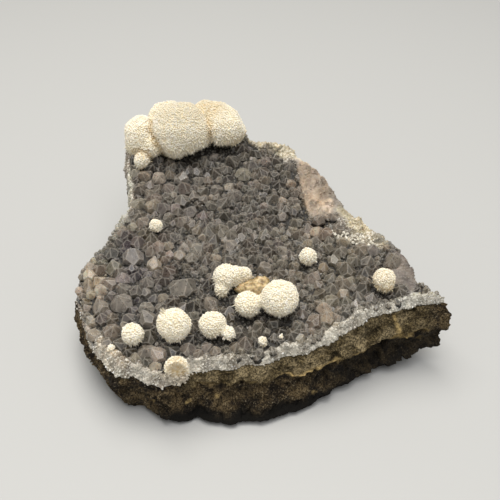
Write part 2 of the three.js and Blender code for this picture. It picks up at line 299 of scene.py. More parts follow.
def spread(piece, per_mm2, random, keep=None):
    """Random places on a piece's faces, evenly by area, with the skin's normals, in millimetres. Keep gives
    the share of them that stays, from where they are and the way they face."""
    piece.data.calc_loop_triangles()
    triangles = np.array([loop.vertices for loop in piece.data.loop_triangles])
    place, normal = points_of(piece), normals_of(piece)
    corners = place[triangles]
    area = np.linalg.norm(np.cross(corners[:, 1] - corners[:, 0], corners[:, 2] - corners[:, 0]), axis=1) / 2
    if keep is not None:
        area = area * keep(corners.mean(1), unit(normal[triangles].mean(1)))
    number = int(per_mm2 * area.sum())
    chosen = random.choice(len(area), number, p=area / area.sum())
    share = random.dirichlet((1, 1, 1), number)
    spot = np.einsum("nk,nkc->nc", share, corners[chosen])
    return spot, unit(np.einsum("nk,nkc->nc", share, normal[triangles[chosen]]))


def thinned(place, apart):
    """Which of the places to keep so that none is nearer to an earlier one than its own distance apart."""
    apart = np.broadcast_to(apart, len(place))
    size = float(apart.max())
    cells, kept = {}, []
    for index, (spot, gap) in enumerate(zip(place, apart)):
        cell = tuple((spot // size).astype(int))
        near = [
            other for step in itertools.product((-1, 0, 1), repeat=3)
            for other in cells.get((cell[0] + step[0], cell[1] + step[1], cell[2] + step[2]), ())
        ]
        if near and min(((place[near] - spot) ** 2).sum(1)) < gap * gap:
            continue
        cells.setdefault(cell, []).append(index)
        kept.append(index)
    return np.array(kept)


# ---- materials --------------------------------------------------------------------------------------------
def linear(hex_colour):
    """An sRGB hex colour as a linear RGBA one."""
    channels = [int(hex_colour[i : i + 2], 16) / 255 for i in (1, 3, 5)]
    return [c / 12.92 if c <= 0.04045 else ((c + 0.055) / 1.055) ** 2.4 for c in channels] + [1.0]


# What the finishes are made of. For each kind of node: its type, the settings and inputs that are always the
# same, the inputs that are given in order, and the output that is read.
OBJECT_PLACE = ("ShaderNodeTexCoord", {}, (), "Object")
IN_MM = ("ShaderNodeMapping", {"Scale": (1 / MM,) * 3}, ("Vector",), 0)  # a place, in millimetres
MEASURE = ("ShaderNodeAttribute", {}, (), "Fac")  # one of the piece's own measures
TINT = ("ShaderNodeAttribute", {"attribute_name": "tint"}, (), "Color")
TWO_MEASURES = ("ShaderNodeUVMap", {}, (), 0)
SPLIT = ("ShaderNodeSeparateXYZ", {}, ("Vector",), 0)
CLOUD = (  # noise: place, lumps per millimetre, detail, roughness
    "ShaderNodeTexNoise", {"Detail": 3.0, "Roughness": 0.55}, ("Vector", "Scale", "Detail", "Roughness"), 0,
)
SPAN = (  # value, low, high, to low, to high: a stretch of values as 0 to 1 or as another one, with soft ends
    "ShaderNodeMapRange", {"interpolation_type": "SMOOTHSTEP"}, (0, 1, 2, 3, 4), 0,
)
MIX = ("ShaderNodeMix", {"data_type": "RGBA"}, (0, 6, 7), 2)  # share, first colour, second colour
TIMES = ("ShaderNodeMath", {"operation": "MULTIPLY"}, (0, 1), 0)
BRIGHTER = ("ShaderNodeVectorMath", {"operation": "SCALE"}, (0, "Scale"), 0)  # colour, times as bright
BUMP = ("ShaderNodeBump", {}, ("Height", "Distance", "Strength"), 0)
SURFACE = ("ShaderNodeBsdfPrincipled", {}, (), 0)


def add_node(tree, kind, *given, **named):
    """Add a node of one of the kinds above: what is given goes to its inputs in order, and what is named to
    the input of that name, or to the setting if the name is in small letters. Each is a number, a hex colour
    or another node's output. Returns the output that is read."""
    node_type, usual, order, output = kind
    made = tree.nodes.new(node_type)
    for key, value in [*usual.items(), *zip(order, given), *named.items()]:
        if isinstance(key, str) and key.islower():
            setattr(made, key, value)
            continue
        socket = made.inputs[key.replace("_", " ") if isinstance(key, str) else key]
        if isinstance(value, bpy.types.NodeSocket):
            tree.links.new(value, socket)
        else:
            socket.default_value = linear(value) if isinstance(value, str) else value
    return made.outputs[output]


def new_material(name):
    """An empty material, and the way to add a node to it."""
    material = bpy.data.materials.new(name)
    material.use_nodes = True
    material.node_tree.nodes.clear()
    return material, partial(add_node, material.node_tree)


def surfaced(material, shader):
    """The material with its finished surface."""
    output = material.node_tree.nodes.new("ShaderNodeOutputMaterial")
    material.node_tree.links.new(shader, output.inputs["Surface"])
    return material


def okenite_finish():
    """Okenite, as grown: bundles of hair-thin white fibres. It is dead matt, warm white at the tips and tan
    where it is stained, and light bleeds a little way into it. Down in the gaps between bundles it is painted
    darker, as painted shade."""
    material, add = new_material("okenite_fibres")
    point = add(IN_MM, add(OBJECT_PLACE))
    body = add(MIX, add(MEASURE, attribute_name="luck"), "#cfc7b4", "#fcf5e4")
    body = add(MIX, add(SPAN, add(CLOUD, point, 1 / 4.0), 0.4, 0.65, 0, 0.3), body, "#f0e2c0")
    # Painted shade: the roots of the bundles, down in the gaps between them, are painted darker than the tips.
    body = add(MIX, add(SPAN, add(MEASURE, attribute_name="tip"), 0.1, 0.65), "#e6dabd", body)
    patchy = add(SPAN, add(CLOUD, point, 1 / 1.5), 0.2, 0.7)
    body = add(MIX, add(TIMES, add(MEASURE, attribute_name="stain"), patchy), body, "#cbb180")
    return surfaced(material, add(
        SURFACE, Base_Color=body, Roughness=0.95, Specular_IOR_Level=0.15,
        Subsurface_Weight=0.2, Subsurface_Radius=(1.0, 0.8, 0.55), Subsurface_Scale=0.5 * MM,
    ))


def points_finish():
    """Pale amethyst, as grown: clear to cloudy quartz with a frost of later growth on its faces. It lets light
    in for some millimetres. The edges of its faces are painted pale, a painted highlight, and the low part of
    each point near its root is painted nearly black, painted shade for the gaps between the points."""
    material, add = new_material("frosted_amethyst")
    point = add(IN_MM, add(OBJECT_PLACE))
    inward, over, _ = add(SPLIT, add(TWO_MEASURES, uv_map="measures")).node.outputs
    mottle = add(SPAN, add(CLOUD, point, 1 / 2.2, 2.0, 0.5), 0.3, 0.7, 0.7, 1.32)
    body = add(BRIGHTER, add(TINT), mottle)
    # Painted highlight: each face is painted pale along its edges.
    body = add(MIX, add(TIMES, add(SPAN, inward, 0.5, 0.0), 0.48), body, "#e4dccf")
    # Painted shade: each point is painted nearly black low down, near its root.
    body = add(MIX, add(SPAN, over, 0.15, -0.85), body, "#120d08")
    frost = add(CLOUD, point, 1 / 1.6, 4.0, 0.7)
    return surfaced(material, add(
        SURFACE, Base_Color=body, Roughness=add(SPAN, frost, 0.38, 0.6, 0.24, 0.48), IOR=1.545,
        Transmission_Weight=0.55, Normal=add(BUMP, frost, 0.05 * MM, 0.4),
        Subsurface_Weight=0.7, Subsurface_Radius=(1.0, 0.9, 0.8), Subsurface_Scale=2.0 * MM,
    ))


def sugar_finish():
    """Fine quartz, as grown and as broken: sugary grains, each a little clearer or cloudier than the next."""
    material, add = new_material("sugary_quartz")
    frost = add(CLOUD, add(IN_MM, add(OBJECT_PLACE)), 1 / 0.3)
    body = add(MIX, add(SPAN, frost, 0.4, 0.7, 0, 0.35), add(TINT), "#e6e0d2")
    return surfaced(material, add(
        SURFACE, Base_Color=body, Roughness=0.35, IOR=1.545, Transmission_Weight=0.15
    ))


def crust_finish():
    """Massive quartz, broken: milky white to rose-grey, with a sugary break that is finest along the rim. The
    sugar is finer than half a millimetre and is drawn with lumps of 0.9 mm, so that it shows."""
    material, add = new_material("milky_quartz")
    point = add(IN_MM, add(OBJECT_PLACE))
    sugar = add(CLOUD, point, 1 / 0.9, 5.0, 0.75)
    sugary = add(MEASURE, attribute_name="sugary")
    mottle = add(SPAN, add(CLOUD, point, 1 / 3.0), 0.3, 0.7, 0.7, 1.2)
    body = add(MIX, 1.0, add(TINT), mottle, blend_type="MULTIPLY")
    body = add(MIX, add(TIMES, sugary, add(SPAN, sugar, 0.5, 0.62)), body, "#f6f1e4")
    body = add(MIX, add(TIMES, sugary, add(SPAN, sugar, 0.47, 0.33)), body, "#6d6556")
    # Painted shade: where the points cover the crust it is painted nearly black, so that the gaps between the
    # points look dark.
    body = add(MIX, add(MEASURE, attribute_name="open"), "#1b160f", body)
    return surfaced(material, add(
        SURFACE, Base_Color=body, Roughness=0.4, IOR=1.545, Normal=add(BUMP, sugar, 0.5 * MM, 0.9),
        Subsurface_Weight=0.3, Subsurface_Radius=(1.0, 0.9, 0.8), Subsurface_Scale=1.0 * MM,
    ))


def basalt_finish():
    """Basalt, broken: a dark brown rock with a fine crystalline grain. Under the quartz it is an olive layer,
    painted paler too, as painted light on its sloping face. A golden line along its lower edge is a painted
    highlight where the ledge catches the light, and tan chips are the rock's own colour. Where the rock would
    be in shade it is painted nearly black, as painted shade. The grain is finer than a quarter of a millimetre
    and is drawn with lumps of 0.62 mm, so that it shows."""
    material, add = new_material("basalt")
    point = add(IN_MM, add(OBJECT_PLACE))
    fine = add(CLOUD, point, 1 / 0.62, 4.0, 0.7)
    grain = add(CLOUD, point, 1 / 1.6, 3.0, 0.6)
    grey = add(SPAN, add(CLOUD, point, 1 / 6.0, 4.0, 0.6), 0.38, 0.62)
    speck = add(TIMES, add(SPAN, fine, 0.54, 0.68), add(SPAN, grain, 0.4, 0.6))
    rock = add(MIX, grey, "#21180e", "#6d5c40")
    rock = add(MIX, add(SPAN, fine, 0.52, 0.42, 0, 0.85), rock, "#080502")
    rock = add(MIX, speck, rock, "#a1957b")
    olive = add(MIX, grey, "#5f5135", "#958565")
    olive = add(MIX, add(SPAN, fine, 0.54, 0.42, 0, 0.8), olive, "#1d170c")
    olive = add(MIX, add(SPAN, fine, 0.56, 0.7), olive, "#a3946f")
    # The olive layer: partly its own colour, partly painted light where its face slopes up.
    rock = add(MIX, add(MEASURE, attribute_name="band"), rock, olive)
    # Painted highlight: the golden line along the ledge; the tan chips are the rock's own colour.
    tan_and_ledge_highlight = add(TIMES, add(MEASURE, attribute_name="tan_and_ledge_highlight"), add(SPAN, grain, 0.36, 0.5, 0.3, 1))
    rock = add(MIX, tan_and_ledge_highlight, rock, "#c0a670")
    # Painted shade: nearly black where the rock would be in shade.
    rock = add(MIX, add(MEASURE, attribute_name="shade"), rock, "#0b0804")
    return surfaced(material, add(
        SURFACE, Base_Color=rock, Roughness=0.85, Specular_IOR_Level=0.25,
        Normal=add(BUMP, fine, 0.6 * MM, 1.0),
    ))


def gyrolite_finish():
    """Gyrolite, as grown: waxy honey-brown lumps that let light in for a millimetre or two."""
    material, add = new_material("gyrolite")
    point = add(IN_MM, add(OBJECT_PLACE))
    body = add(MIX, add(SPAN, add(CLOUD, point, 1 / 1.8), 0.3, 0.7), "#826c44", "#dcc496")
    grain = add(CLOUD, point, 1 / 0.5)
    return surfaced(material, add(
        SURFACE, Base_Color=body, Roughness=0.4, IOR=1.54, Normal=add(BUMP, grain, 0.1 * MM, 1.0),
        Subsurface_Weight=0.4, Subsurface_Radius=(1.0, 0.6, 0.25), Subsurface_Scale=1.5 * MM,
    ))


def floor_finish():
    """Painted board: plain, pale and matt."""
    material, add = new_material("painted_board")
    return surfaced(material, add(SURFACE, Base_Color="#b8b8b6", Roughness=0.6))


# ---- camera, light and floor ------------------------------------------------------------------------------
def make_camera():
    """37 degrees above the table, straight from the front, at the distance and lens of a close portrait."""
    focus = Vector((0, 0, 22 * MM))
    elevation = math.radians(37)
    distance = 312 * MM
    camera = bpy.data.objects.new("camera", bpy.data.cameras.new("camera"))
    bpy.context.scene.collection.objects.link(camera)
    camera.location = focus + distance * Vector((0, -math.cos(elevation), math.sin(elevation)))
    camera.rotation_euler = (focus - camera.location).to_track_quat("-Z", "Y").to_euler()
    camera.data.sensor_width = 36
    camera.data.lens = 50.4
    camera.data.clip_start = 0.01
    bpy.context.scene.camera = camera
    bpy.context.scene.view_settings.view_transform = "Standard"


def make_light(name, place, size, watts, colour):
    lamp = bpy.data.objects.new(name, bpy.data.lights.new(name, "AREA"))
    bpy.context.scene.collection.objects.link(lamp)
    lamp.location = place
    lamp.rotation_euler = (Vector((0, 0, 0.02)) - lamp.location).to_track_quat("-Z", "Y").to_euler()
    lamp.data.size = size
    lamp.data.energy = watts
    lamp.data.color = linear(colour)[:3]


def make_stage():
    bpy.ops.object.select_all(action="DESELECT")
    bpy.ops.mesh.primitive_plane_add(size=6)
    floor = bpy.context.object
    floor.name = "floor"
    floor.data.materials.append(floor_finish())
    floor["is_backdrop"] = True
    world = bpy.data.worlds.new("studio")
    bpy.context.scene.world = world
    world.use_nodes = True
    background = world.node_tree.nodes["Background"]
    background.inputs["Color"].default_value = linear("#f2f2f0")
    background.inputs["Strength"].default_value = 0.38
    make_light("key", (-0.15, 0.2, 1.2), 1.0, 15.0, "#fffcf6")
    make_light("fill", (0.1, -0.5, 1.0), 0.7, 5.2, "#fbfbfd")


# ---- the druse in plan ------------------------------------------------------------------------------------
class Plan:
    """Which points of the plan lie on the crust, and how far each is from its broken edge, in millimetres."""

    def __init__(self, step=1.0):
        tree = tree_of([name for name in nodes if name != "basalt_matrix"])
        self.step = step
        self.xs = np.arange(-80, 82, step)
        self.ys = np.arange(-84, 68, step)
        above, down = 0.1, Vector((0, 0, -1))
        off = [
            (x, y) for x in self.xs for y in self.ys
            if tree.ray_cast(Vector((x * MM, y * MM, above)), down)[0] is None
        ]
        outside = KDTree(len(off))
        for index, (x, y) in enumerate(off):
            outside.insert((x, y, 0), index)
        outside.balance()
        self.grid = np.array([[outside.find((x, y, 0))[2] for y in self.ys] for x in self.xs]) - 0.5 * step

    def edge(self, x, y):
        """Millimetres from plan points to the crust's edge, at least 0."""
        u = np.clip((np.asarray(x) - self.xs[0]) / self.step, 0, len(self.xs) - 1.001)
        v = np.clip((np.asarray(y) - self.ys[0]) / self.step, 0, len(self.ys) - 1.001)
        i, j = u.astype(int), v.astype(int)
        low = lerp(self.grid[i, j], self.grid[i + 1, j], u - i)
        high = lerp(self.grid[i, j + 1], self.grid[i + 1, j + 1], u - i)
        return np.maximum(0, lerp(low, high, v - j))


def right_of_ridge(x, y):
    """How far plan points are to the right of the ridge's left side, in millimetres."""
    return x - 21.2 - 0.158 * (24.5 - y)


def ridge(x, y):
    """The rose-beige ridge at the back right: a step up, with a groove along its left side, in mm."""
    right_of = right_of_ridge(x, y)
    ends = smoothstep(-11, -4, y) * smoothstep(31, 25, y)
    return ends * (2.0 * smoothstep(0, 1.5, right_of) - 1.6 * np.exp(-(((right_of + 1.3) / 1.1) ** 2)))


def ground(x, y):
    """The growth surface with its ridge."""
    return bed_height(x, y) + ridge(x, y)


def oval(x, y, middle_x, middle_y, along, across, turn):
    """How far plan points are from the middle of an oval, as a share of the way to its edge. Its turn is in
    degrees."""
    angle = math.radians(turn)
    u = ((x - middle_x) * math.cos(angle) + (y - middle_y) * math.sin(angle)) / along
    v = ((y - middle_y) * math.cos(angle) - (x - middle_x) * math.sin(angle)) / across
    return np.hypot(u, v)


def front_of(x, y):
    """The front margin of the specimen, from 0 to 1."""
    return smoothstep(-43, -49, y - 0.083 * (x - 70))


def bare_left(x, y):
    """The left end, where the rock shows beside the crust, from 0 to 1."""
    return smoothstep(-60, -66, x) * smoothstep(-68, -60, y) * smoothstep(-14, -22, y)


# Stretches of massive quartz, as ovals: the middle, the reach along and across, and the turn in degrees.
RIGHT_FACE = (60, -33, 11, 5.6, 100)  # one broad face at the right edge
SHELF = (46.5, -9.5, 13, 6.2, -48)  # the cream step below the ridge
RIGHT_TIP = (67, -48.5, 12, 5, 0)
CREST = (18, 33, 6, 5, 0)  # where the ridge meets the back edge


def polished(x, y):
    """Where massive quartz is broken smooth, from 0 to 1: the ridge and the broad face at the right edge."""
    low_end = smoothstep(-5, -1, y + 1.5 * lattice_noise(x / 3, y / 3, 7))
    block = smoothstep(-0.3, 0.3, right_of_ridge(x, y)) * low_end * smoothstep(34, 29, y)
    return np.maximum(block, smoothstep(1.15, 0.9, oval(x, y, *RIGHT_FACE)))


def massive(plan, x, y):
    """Where the quartz is massive rather than in points, from 0 to 1: the smooth parts, the shelf, the right
    tip, the crest and the broken rim along the front, the back and the left."""
    edge = plan.edge(x, y) + 1.3 * lattice_noise(x / 4, y / 4, 5) + 0.7 * lattice_noise(x / 1.6, y / 1.6, 6)
    rough = 0.25 * lattice_noise(x / 2.5, y / 2.5, 12)
    front_edge = edge + 1.5 * lattice_noise(x / 7, y / 7, 15)
    wide = lerp(4.4, 2.4, smoothstep(-44, -24, x)) + 1.0 * smoothstep(34, 44, x)
    zones = [
        polished(x, y),
        smoothstep(1.15, 0.85, oval(x, y, *SHELF) + rough),
        smoothstep(1.2, 0.8, oval(x, y, *RIGHT_TIP)),
        smoothstep(1.1, 0.8, oval(x, y, *CREST)),
        smoothstep(wide, wide - 1.4, front_edge) * front_of(x, y),
        smoothstep(3.8, 2.6, edge) * smoothstep(0, 5, x) * smoothstep(24, 30, y),
        smoothstep(3.6, 2.6, edge) * smoothstep(-42, -48, x + 0.1 * y) * smoothstep(-8, 0, y),
    ]
    return np.maximum.reduce(zones)


# Patches of the druse: plan place, reach along and across, turn in degrees, colour, how much of it shows, and
# how coarse its crystals are.
PATCHES = {
    "lavender left": (-46, -38, 15, 13, 0, "#968d8b", 0.55, 1.25),
    "far left": (-62, -37, 18, 6, 85, "#c4b098", 0.85, 1.2),
    "left shoulder": (-62, -16, 14, 5, 130, "#9d9a8a", 0.7, 0.95),
    "left rim": (-55, 10, 20, 3, 85, "#b5b2a3", 0.8, 0.9),
    "back left": (-36, 16, 12, 12, 0, "#9c9388", 0.4, 1.35),
    # Painted shade: a dark patch under the balls, where they shade the quartz.
    "painted shade under the balls": (-25, 28, 24, 5, -8, "#555047", 0.6, 0.8),
    "middle": (-3, -6, 20, 16, 60, "#736d63", 0.45, 0.95),
    "right of middle": (27, -24, 20, 15, 0, "#8a8070", 0.6, 0.95),
    "low right": (37, -42, 17, 8, 10, "#898272", 0.5, 1.1),
    # Painted shade: a dark patch in the front hollow beside the front balls.
    "painted shade in the front hollow": (-11, -61, 9, 4, 0, "#3e3a32", 0.7, 0.7),
    "ridge": (27.5, 14, 17, 7, 99, "#ae9a84", 0.95, 0.75),
    "cream crest": (12, 38, 15, 5, -33, "#c4b89d", 0.9, 0.7),
    "cream shelf": (47, -8, 12, 5, -48, "#b0a58a", 0.9, 0.6),
    "right rim": (60, -33, 13, 6.5, 100, "#6f645a", 0.9, 1.2),
    "tip": (67, -48, 13, 4, 5, "#b9b5aa", 0.9, 0.6),
    "cream corner": (-53, -66, 6, 3.2, -60, "#b5a184", 0.85, 0.9),
    "front slope": (-12, -70, 34, 3.6, 2, "#665e52", 0.75, 1.2),
    "front corner": (-38, -72, 14, 4.5, -8, "#95897a", 0.8, 1.15),
    "mauve shoulder": (-49, -22, 15, 6.5, -68, "#615860", 0.75, 0.9),
    "mauve hollow": (-41, -48, 8, 6, 0, "#635a61", 0.7, 1.0),
    "left pale middle": (-37, -19, 10, 5.5, -60, "#bfa894", 0.8, 1.1),
    "foot of the ridge": (31, -6, 8, 6, 100, "#9d8e7a", 0.8, 1.15),
    "tan shelf": (53, -17.5, 6, 4, -40, "#a99d86", 0.85, 0.8),
    "under the shelf": (40, -20, 10, 5, -15, "#9b907c", 0.7, 1.0),
    "front right slope": (36, -55, 26, 3.2, 26, "#847b6c", 0.75, 1.0),
}
BASE_COLOUR = "#897e71"


def patch_shares(x, y):
    """How much of each patch shows at plan points, with wandering edges."""
    for px, py, along, across, turn, colour, share, coarse in PATCHES.values():
        far = oval(x, y, px, py, along, across, turn) + 0.3 * lattice_noise(x / 3.5, y / 3.5, px)
        yield smoothstep(1.25, 0.75, far) * share, colour, coarse


# A streak of chalk-white grains on the right shelf, as a broken line in plan.
CHALK_STREAK = [(35.5, -11), (40, -14), (44, -16.3), (50.5, -18), (48, -20.5)]


def chalk_of(x, y, reach=1.6):
    """How near plan points are to the chalky streak, from 0 to 1."""
    near = np.full(len(x), 99.0)
    for (ax, ay), (bx, by) in zip(CHALK_STREAK, CHALK_STREAK[1:]):
        way_x, way_y = bx - ax, by - ay
        share = np.clip(((x - ax) * way_x + (y - ay) * way_y) / (way_x ** 2 + way_y ** 2), 0, 1)
        near = np.minimum(near, np.hypot(x - lerp(ax, bx, share), y - lerp(ay, by, share)))
    return smoothstep(2 * reach, 0.3 * reach, near)


def druse_colour(x, y, random, spread_of=0.46):
    """Linear colours of the quartz at plan points, each a little lighter or darker than its neighbours."""
    colour = np.tile(linear(BASE_COLOUR), (len(x), 1))
    for share, patch, _ in patch_shares(x, y):
        colour = lerp(colour, np.array(linear(patch)), share[:, None])
    drift = 0.28 * lattice_noise(x / 11, y / 11, 4) + 0.28 * lattice_noise(x / 4.6, y / 4.6, 8)
    own = spread_of * np.clip(random.normal(0, 1, len(x)), -2.2, 1.5)
    colour[:, :3] *= np.exp(drift + own)[:, None]
    colour[:, :3] *= np.exp(random.normal(0, 0.022, (len(x), 3)))
    warm = 0.7 * lattice_noise(x / 6, y / 6, 14) + 0.5 * lattice_noise(x / 2.4, y / 2.4, 15)
    colour[:, :3] *= np.exp(np.outer(warm, [0.05, 0.0, -0.11]))
    return np.clip(colour, 0, 1)


def tinted(colour, hex_colour, share):
    """Colours drawn towards one hex colour, each by its share."""
    return lerp(colour, np.array(linear(hex_colour)), np.broadcast_to(share, len(colour))[:, None])


def coarseness(x, y):
    """How coarse the crystals are at plan points, as a share of the usual size."""
    size = np.ones_like(x)
    for share, _, coarse in patch_shares(x, y):
        size = lerp(size, coarse, share)
    return size


# ---- quartz points ----------------------------------------------------------------------------------------
def quartz_point(seed):
    """One quartz crystal of unit radius with its shoulder near z = 0: a six-sided prism with six sloping
    faces cut to a point, each face split round its middle. Returns its points, its triangles and, for each
    corner of each triangle, how far it is from the face's outline."""
    random = np.random.default_rng(seed)
    bpy.ops.object.select_all(action="DESELECT")
    bpy.ops.mesh.primitive_cylinder_add(vertices=6, radius=1, depth=2.9, location=(0, 0, 0.15))
    piece = bpy.context.object
    bpy.ops.object.transform_apply(location=True, rotation=True, scale=True)
    slope = math.radians(random.uniform(42, 52))
    uneven = random.choice((0.05, 0.1, 0.18))
    bpy.ops.object.mode_set(mode="EDIT")
    for side in range(6):
        around = math.radians(60 * side + 30)
        normal = (math.cos(around) * math.sin(slope), math.sin(around) * math.sin(slope), math.cos(slope))
        reach = math.cos(math.radians(30)) * math.sin(slope) * random.normal(0.93 + 0.04 * (side % 2), uneven)
        bpy.ops.mesh.select_all(action="SELECT")
        bpy.ops.mesh.bisect(
            plane_co=[reach * part for part in normal], plane_no=normal, use_fill=True, clear_outer=True
        )
    bpy.ops.mesh.select_all(action="SELECT")
    bpy.ops.mesh.remove_doubles(threshold=0.02)
    bpy.ops.mesh.normals_make_consistent(inside=False)
    bpy.ops.object.mode_set(mode="OBJECT")
    outline = len(piece.data.vertices)
    bpy.ops.object.mode_set(mode="EDIT")
    bpy.ops.mesh.poke()
    bpy.ops.object.mode_set(mode="OBJECT")
    points = np.array([vertex.co for vertex in piece.data.vertices])
    triangles = np.array([face.vertices for face in piece.data.polygons])
    bpy.data.objects.remove(piece)
    inward = np.zeros(triangles.shape)
    for row, triangle in enumerate(triangles):
        for corner in np.nonzero(triangle >= outline)[0]:
            a, b = (points[index] for index in triangle if index < outline)
            middle = points[triangle[corner]]
            inward[row, corner] = np.linalg.norm(np.cross(b - a, middle - a)) / np.linalg.norm(b - a)
    return points, triangles, inward


# The points that stand out: plan place, radius and colour, in millimetres.
TALL_POINTS = [
    (-41, 22, 3.7, "#cdbfaf"), (-31, 22, 3.6, "#a2998e"), (-23, 21, 2.9, "#aaa296"),
    (-3, 24, 4.1, "#aaa290"), (-8, 31, 3.8, "#787166"), (-45, 18, 2.6, "#a0958b"),
    (-30, 10, 3.8, "#958d81"), (-15, 16, 3.0, "#90887e"), (-7, 13, 3.8, "#978e84"),
    (-17, 8, 2.8, "#8b8478"), (-26, 4, 3.2, "#a19890"), (-35, 0, 2.8, "#958d81"), (-49, 8, 3.5, "#b6ae9d"),
    (-37, -4, 2.7, "#9c9586"), (-50, -5, 2.4, "#d7cdb8"), (-34, -15, 2.7, "#b7aa98"),
    (-29, -20, 2.8, "#bdaf9c"), (-24, -21, 3.2, "#9c9385"), (-39, -25, 3.4, "#d5c5af"),
    (-48, -21, 4.9, "#a49b92"), (-14, -25, 2.9, "#948c81"), (-19, -27, 2.5, "#978f84"),
    (-27, -36, 6.0, "#9a9286"), (-41, -34, 3.3, "#a1988e"), (-41, -39, 2.4, "#978f86"),
    (-50, -37, 3.2, "#9e968c"), (-34, -42, 2.6, "#b8ab99"), (-50, -44, 4.9, "#aba297"),
    (-58, -45, 4.1, "#b2a799"), (-40, -47, 3.4, "#a1998d"), (-39, -52, 3.8, "#9c9387"),
    (-63, -38, 2.3, "#dccdb0"), (-52, -57, 3.8, "#b1a292"), (-59, -57, 3.0, "#beb09d"),
    (-38, -60, 3.6, "#908879"), (-3, -24, 2.8, "#999184"), (8, -14, 2.1, "#948c7f"),
    (6, -28, 3.8, "#a19688"), (13, -25, 2.6, "#968d7f"), (33, -15, 2.4, "#8d8577"),
    (37, -21, 3.4, "#938a7c"), (42, -26, 3.6, "#8d8576"), (47, -27, 3.4, "#877e71"),
    (50, -22, 2.8, "#9e948b"), (57, -28, 4.4, "#a4998a"), (32, -34, 3.0, "#908879"),
    (32, -40, 3.0, "#8c8476"), (21, -41, 2.4, "#867e71"), (9, -54, 2.8, "#938b7c"),
    (18, -56, 2.8, "#999183"), (-4, -58, 3.2, "#7c756b"), (29, -5, 2.8, "#a39688"),
    (53, -16, 3.0, "#b9b19c"), (20, -3, 3.2, "#928a7c"), (15, 14, 2.8, "#898175"),
]


def scatter_points(plan, random, tries=16000):
    """Places and radii of the quartz points, the larger ones first, so that small ones fill the gaps."""
    x, y = random.uniform(-76, 79, tries), random.uniform(-81, 63, tries)
    edge = plan.edge(x, y)
    off_the_rim = edge > 0.35 + 1.7 * bare_left(x, y) + 0.6 * front_of(x, y)
    off_the_tip = x < 73
    off_the_chalk = chalk_of(x, y, reach=1.0) < 0.4
    off_the_massive = massive(plan, x, y) < random.uniform(0.3, 1.0, tries) + 0.02 * front_of(x, y)
    rooted = off_the_rim & off_the_tip & off_the_chalk & off_the_massive
    x, y, edge = x[rooted], y[rooted], edge[rooted]
    coarse = lerp(1.75, 2.3, smoothstep(-5, -45, x)) * coarseness(x, y)
    radius = coarse * np.exp(random.normal(0, 0.36, len(x)))
    radius = np.clip(np.minimum(radius, 0.7 + 0.5 * edge), 0.75, 3.8)
    radius = np.where(massive(plan, x, y) > 0.5, random.uniform(0.8, 1.9, len(x)), radius)
    order = np.argsort(-radius)
    tall = np.array([row[:3] for row in TALL_POINTS])
    x, y, radius = (np.append(tall[:, k], values[order]) for k, values in enumerate((x, y, radius)))
    cells, kept, cell_size = {}, [], 9
    for index in range(len(x)):
        column, row = int(x[index] // cell_size), int(y[index] // cell_size)
        near = [
            other for i, j in itertools.product((-1, 0, 1), repeat=2)
            for other in cells.get((column + i, row + j), ())
        ]
        if index >= len(tall) and near:
            far = np.hypot(x[near] - x[index], y[near] - y[index])
            room = np.where(np.array(near) < len(tall), 1.0, 0.6)
            if np.any(far < room * radius[near] + 0.42 * radius[index]):
                continue
        cells.setdefault((column, row), []).append(index)
        kept.append(index)
    return x[kept], y[kept], radius[kept]


def make_points(plan):
    """The druse: six-sided points of pale amethyst that stand close together and clear of the balls."""
    random = np.random.default_rng(23)
    kinds = [quartz_point(seed) for seed in range(18)]
    x, y, radius = scatter_points(plan, random)
    tall = len(TALL_POINTS)
    colours = druse_colour(x, y, random)
    colours[:tall] = [linear(row[3]) for row in TALL_POINTS]
    rise = random.uniform(-0.25, 0.7, len(x)) * np.minimum(radius, 2.2)
    rise[:tall] = 1.2
    lean = random.normal(0, 0.24, (len(x), 2))
    stand = bed_normal(x, y) + np.column_stack([lean, np.zeros(len(x))])
    turn = random.uniform(0, 2 * math.pi, len(x))
    root = np.column_stack([x, y, ground(x, y)])
    balls = tree_of(OKENITE_NODES + ["gyrolite_lump"])
    # Painted shade: points near the balls and the gyrolite are painted darker.
    colours[:, :3] *= shade_beside_balls(balls, root)[:, None]
    near_rim = np.maximum(massive(plan, x, y), smoothstep(4.2, 1.6, plan.edge(x, y))) * front_of(x, y)
    colours = tinted(colours, "#b3aa9b", 0.4 * near_rim)
    clearance = 0.6
    points, faces, tints, measures, start = [], [], [], [], 0
    for index in range(len(x)):
        axis = unit(stand[index])
        tip = root[index] + axis * (rise[index] + radius[index])
        if balls.find_nearest(Vector(tip) * MM)[3] < clearance * MM or deep_inside(balls, tip, clearance):
            continue
        shape, triangles, inward = kinds[random.integers(len(kinds))]
        upright = Vector((0, 0, 1)).rotation_difference(Vector(axis)) @ Quaternion((0, 0, 1), turn[index])
        placed = (shape * radius[index] + [0, 0, rise[index]]) @ np.array(upright.to_matrix()).T + root[index]
        points.append(placed)
        faces.append(triangles + start)
        tints += [colours[index]] * len(triangles)
        over = placed[triangles][..., 2] - root[index][2]
        measures.append(np.stack([inward * radius[index], over], -1).reshape(-1, 2))
        start += len(shape)
    druse = new_piece("quartz_points", np.concatenate(points), np.concatenate(faces))
    set_colours(druse, "tint", tints)
    set_pairs(druse, "measures", np.concatenate(measures))
    return druse


def shade_beside_balls(tree, places):
    """Painted shade: how light the quartz is painted near the balls, darker where they shade it."""
    far = np.array([tree.find_nearest(Vector(place) * MM)[3] for place in places]) / MM
    return lerp(0.16, 1.0, smoothstep(0.8, 4.5, far))


def deep_inside(tree, spot_mm, depth_mm):
    """Whether a place lies well inside the solids of a search tree, all of them less than 60 mm high."""
    spot = Vector(spot_mm) * MM
    _, _, _, far = tree.find_nearest(spot)
    return depth_mm < far / MM < 30 and all(
        tree.ray_cast(spot, Vector((0, 0, way)), 60 * MM)[0] is not None for way in (1, -1)
    )


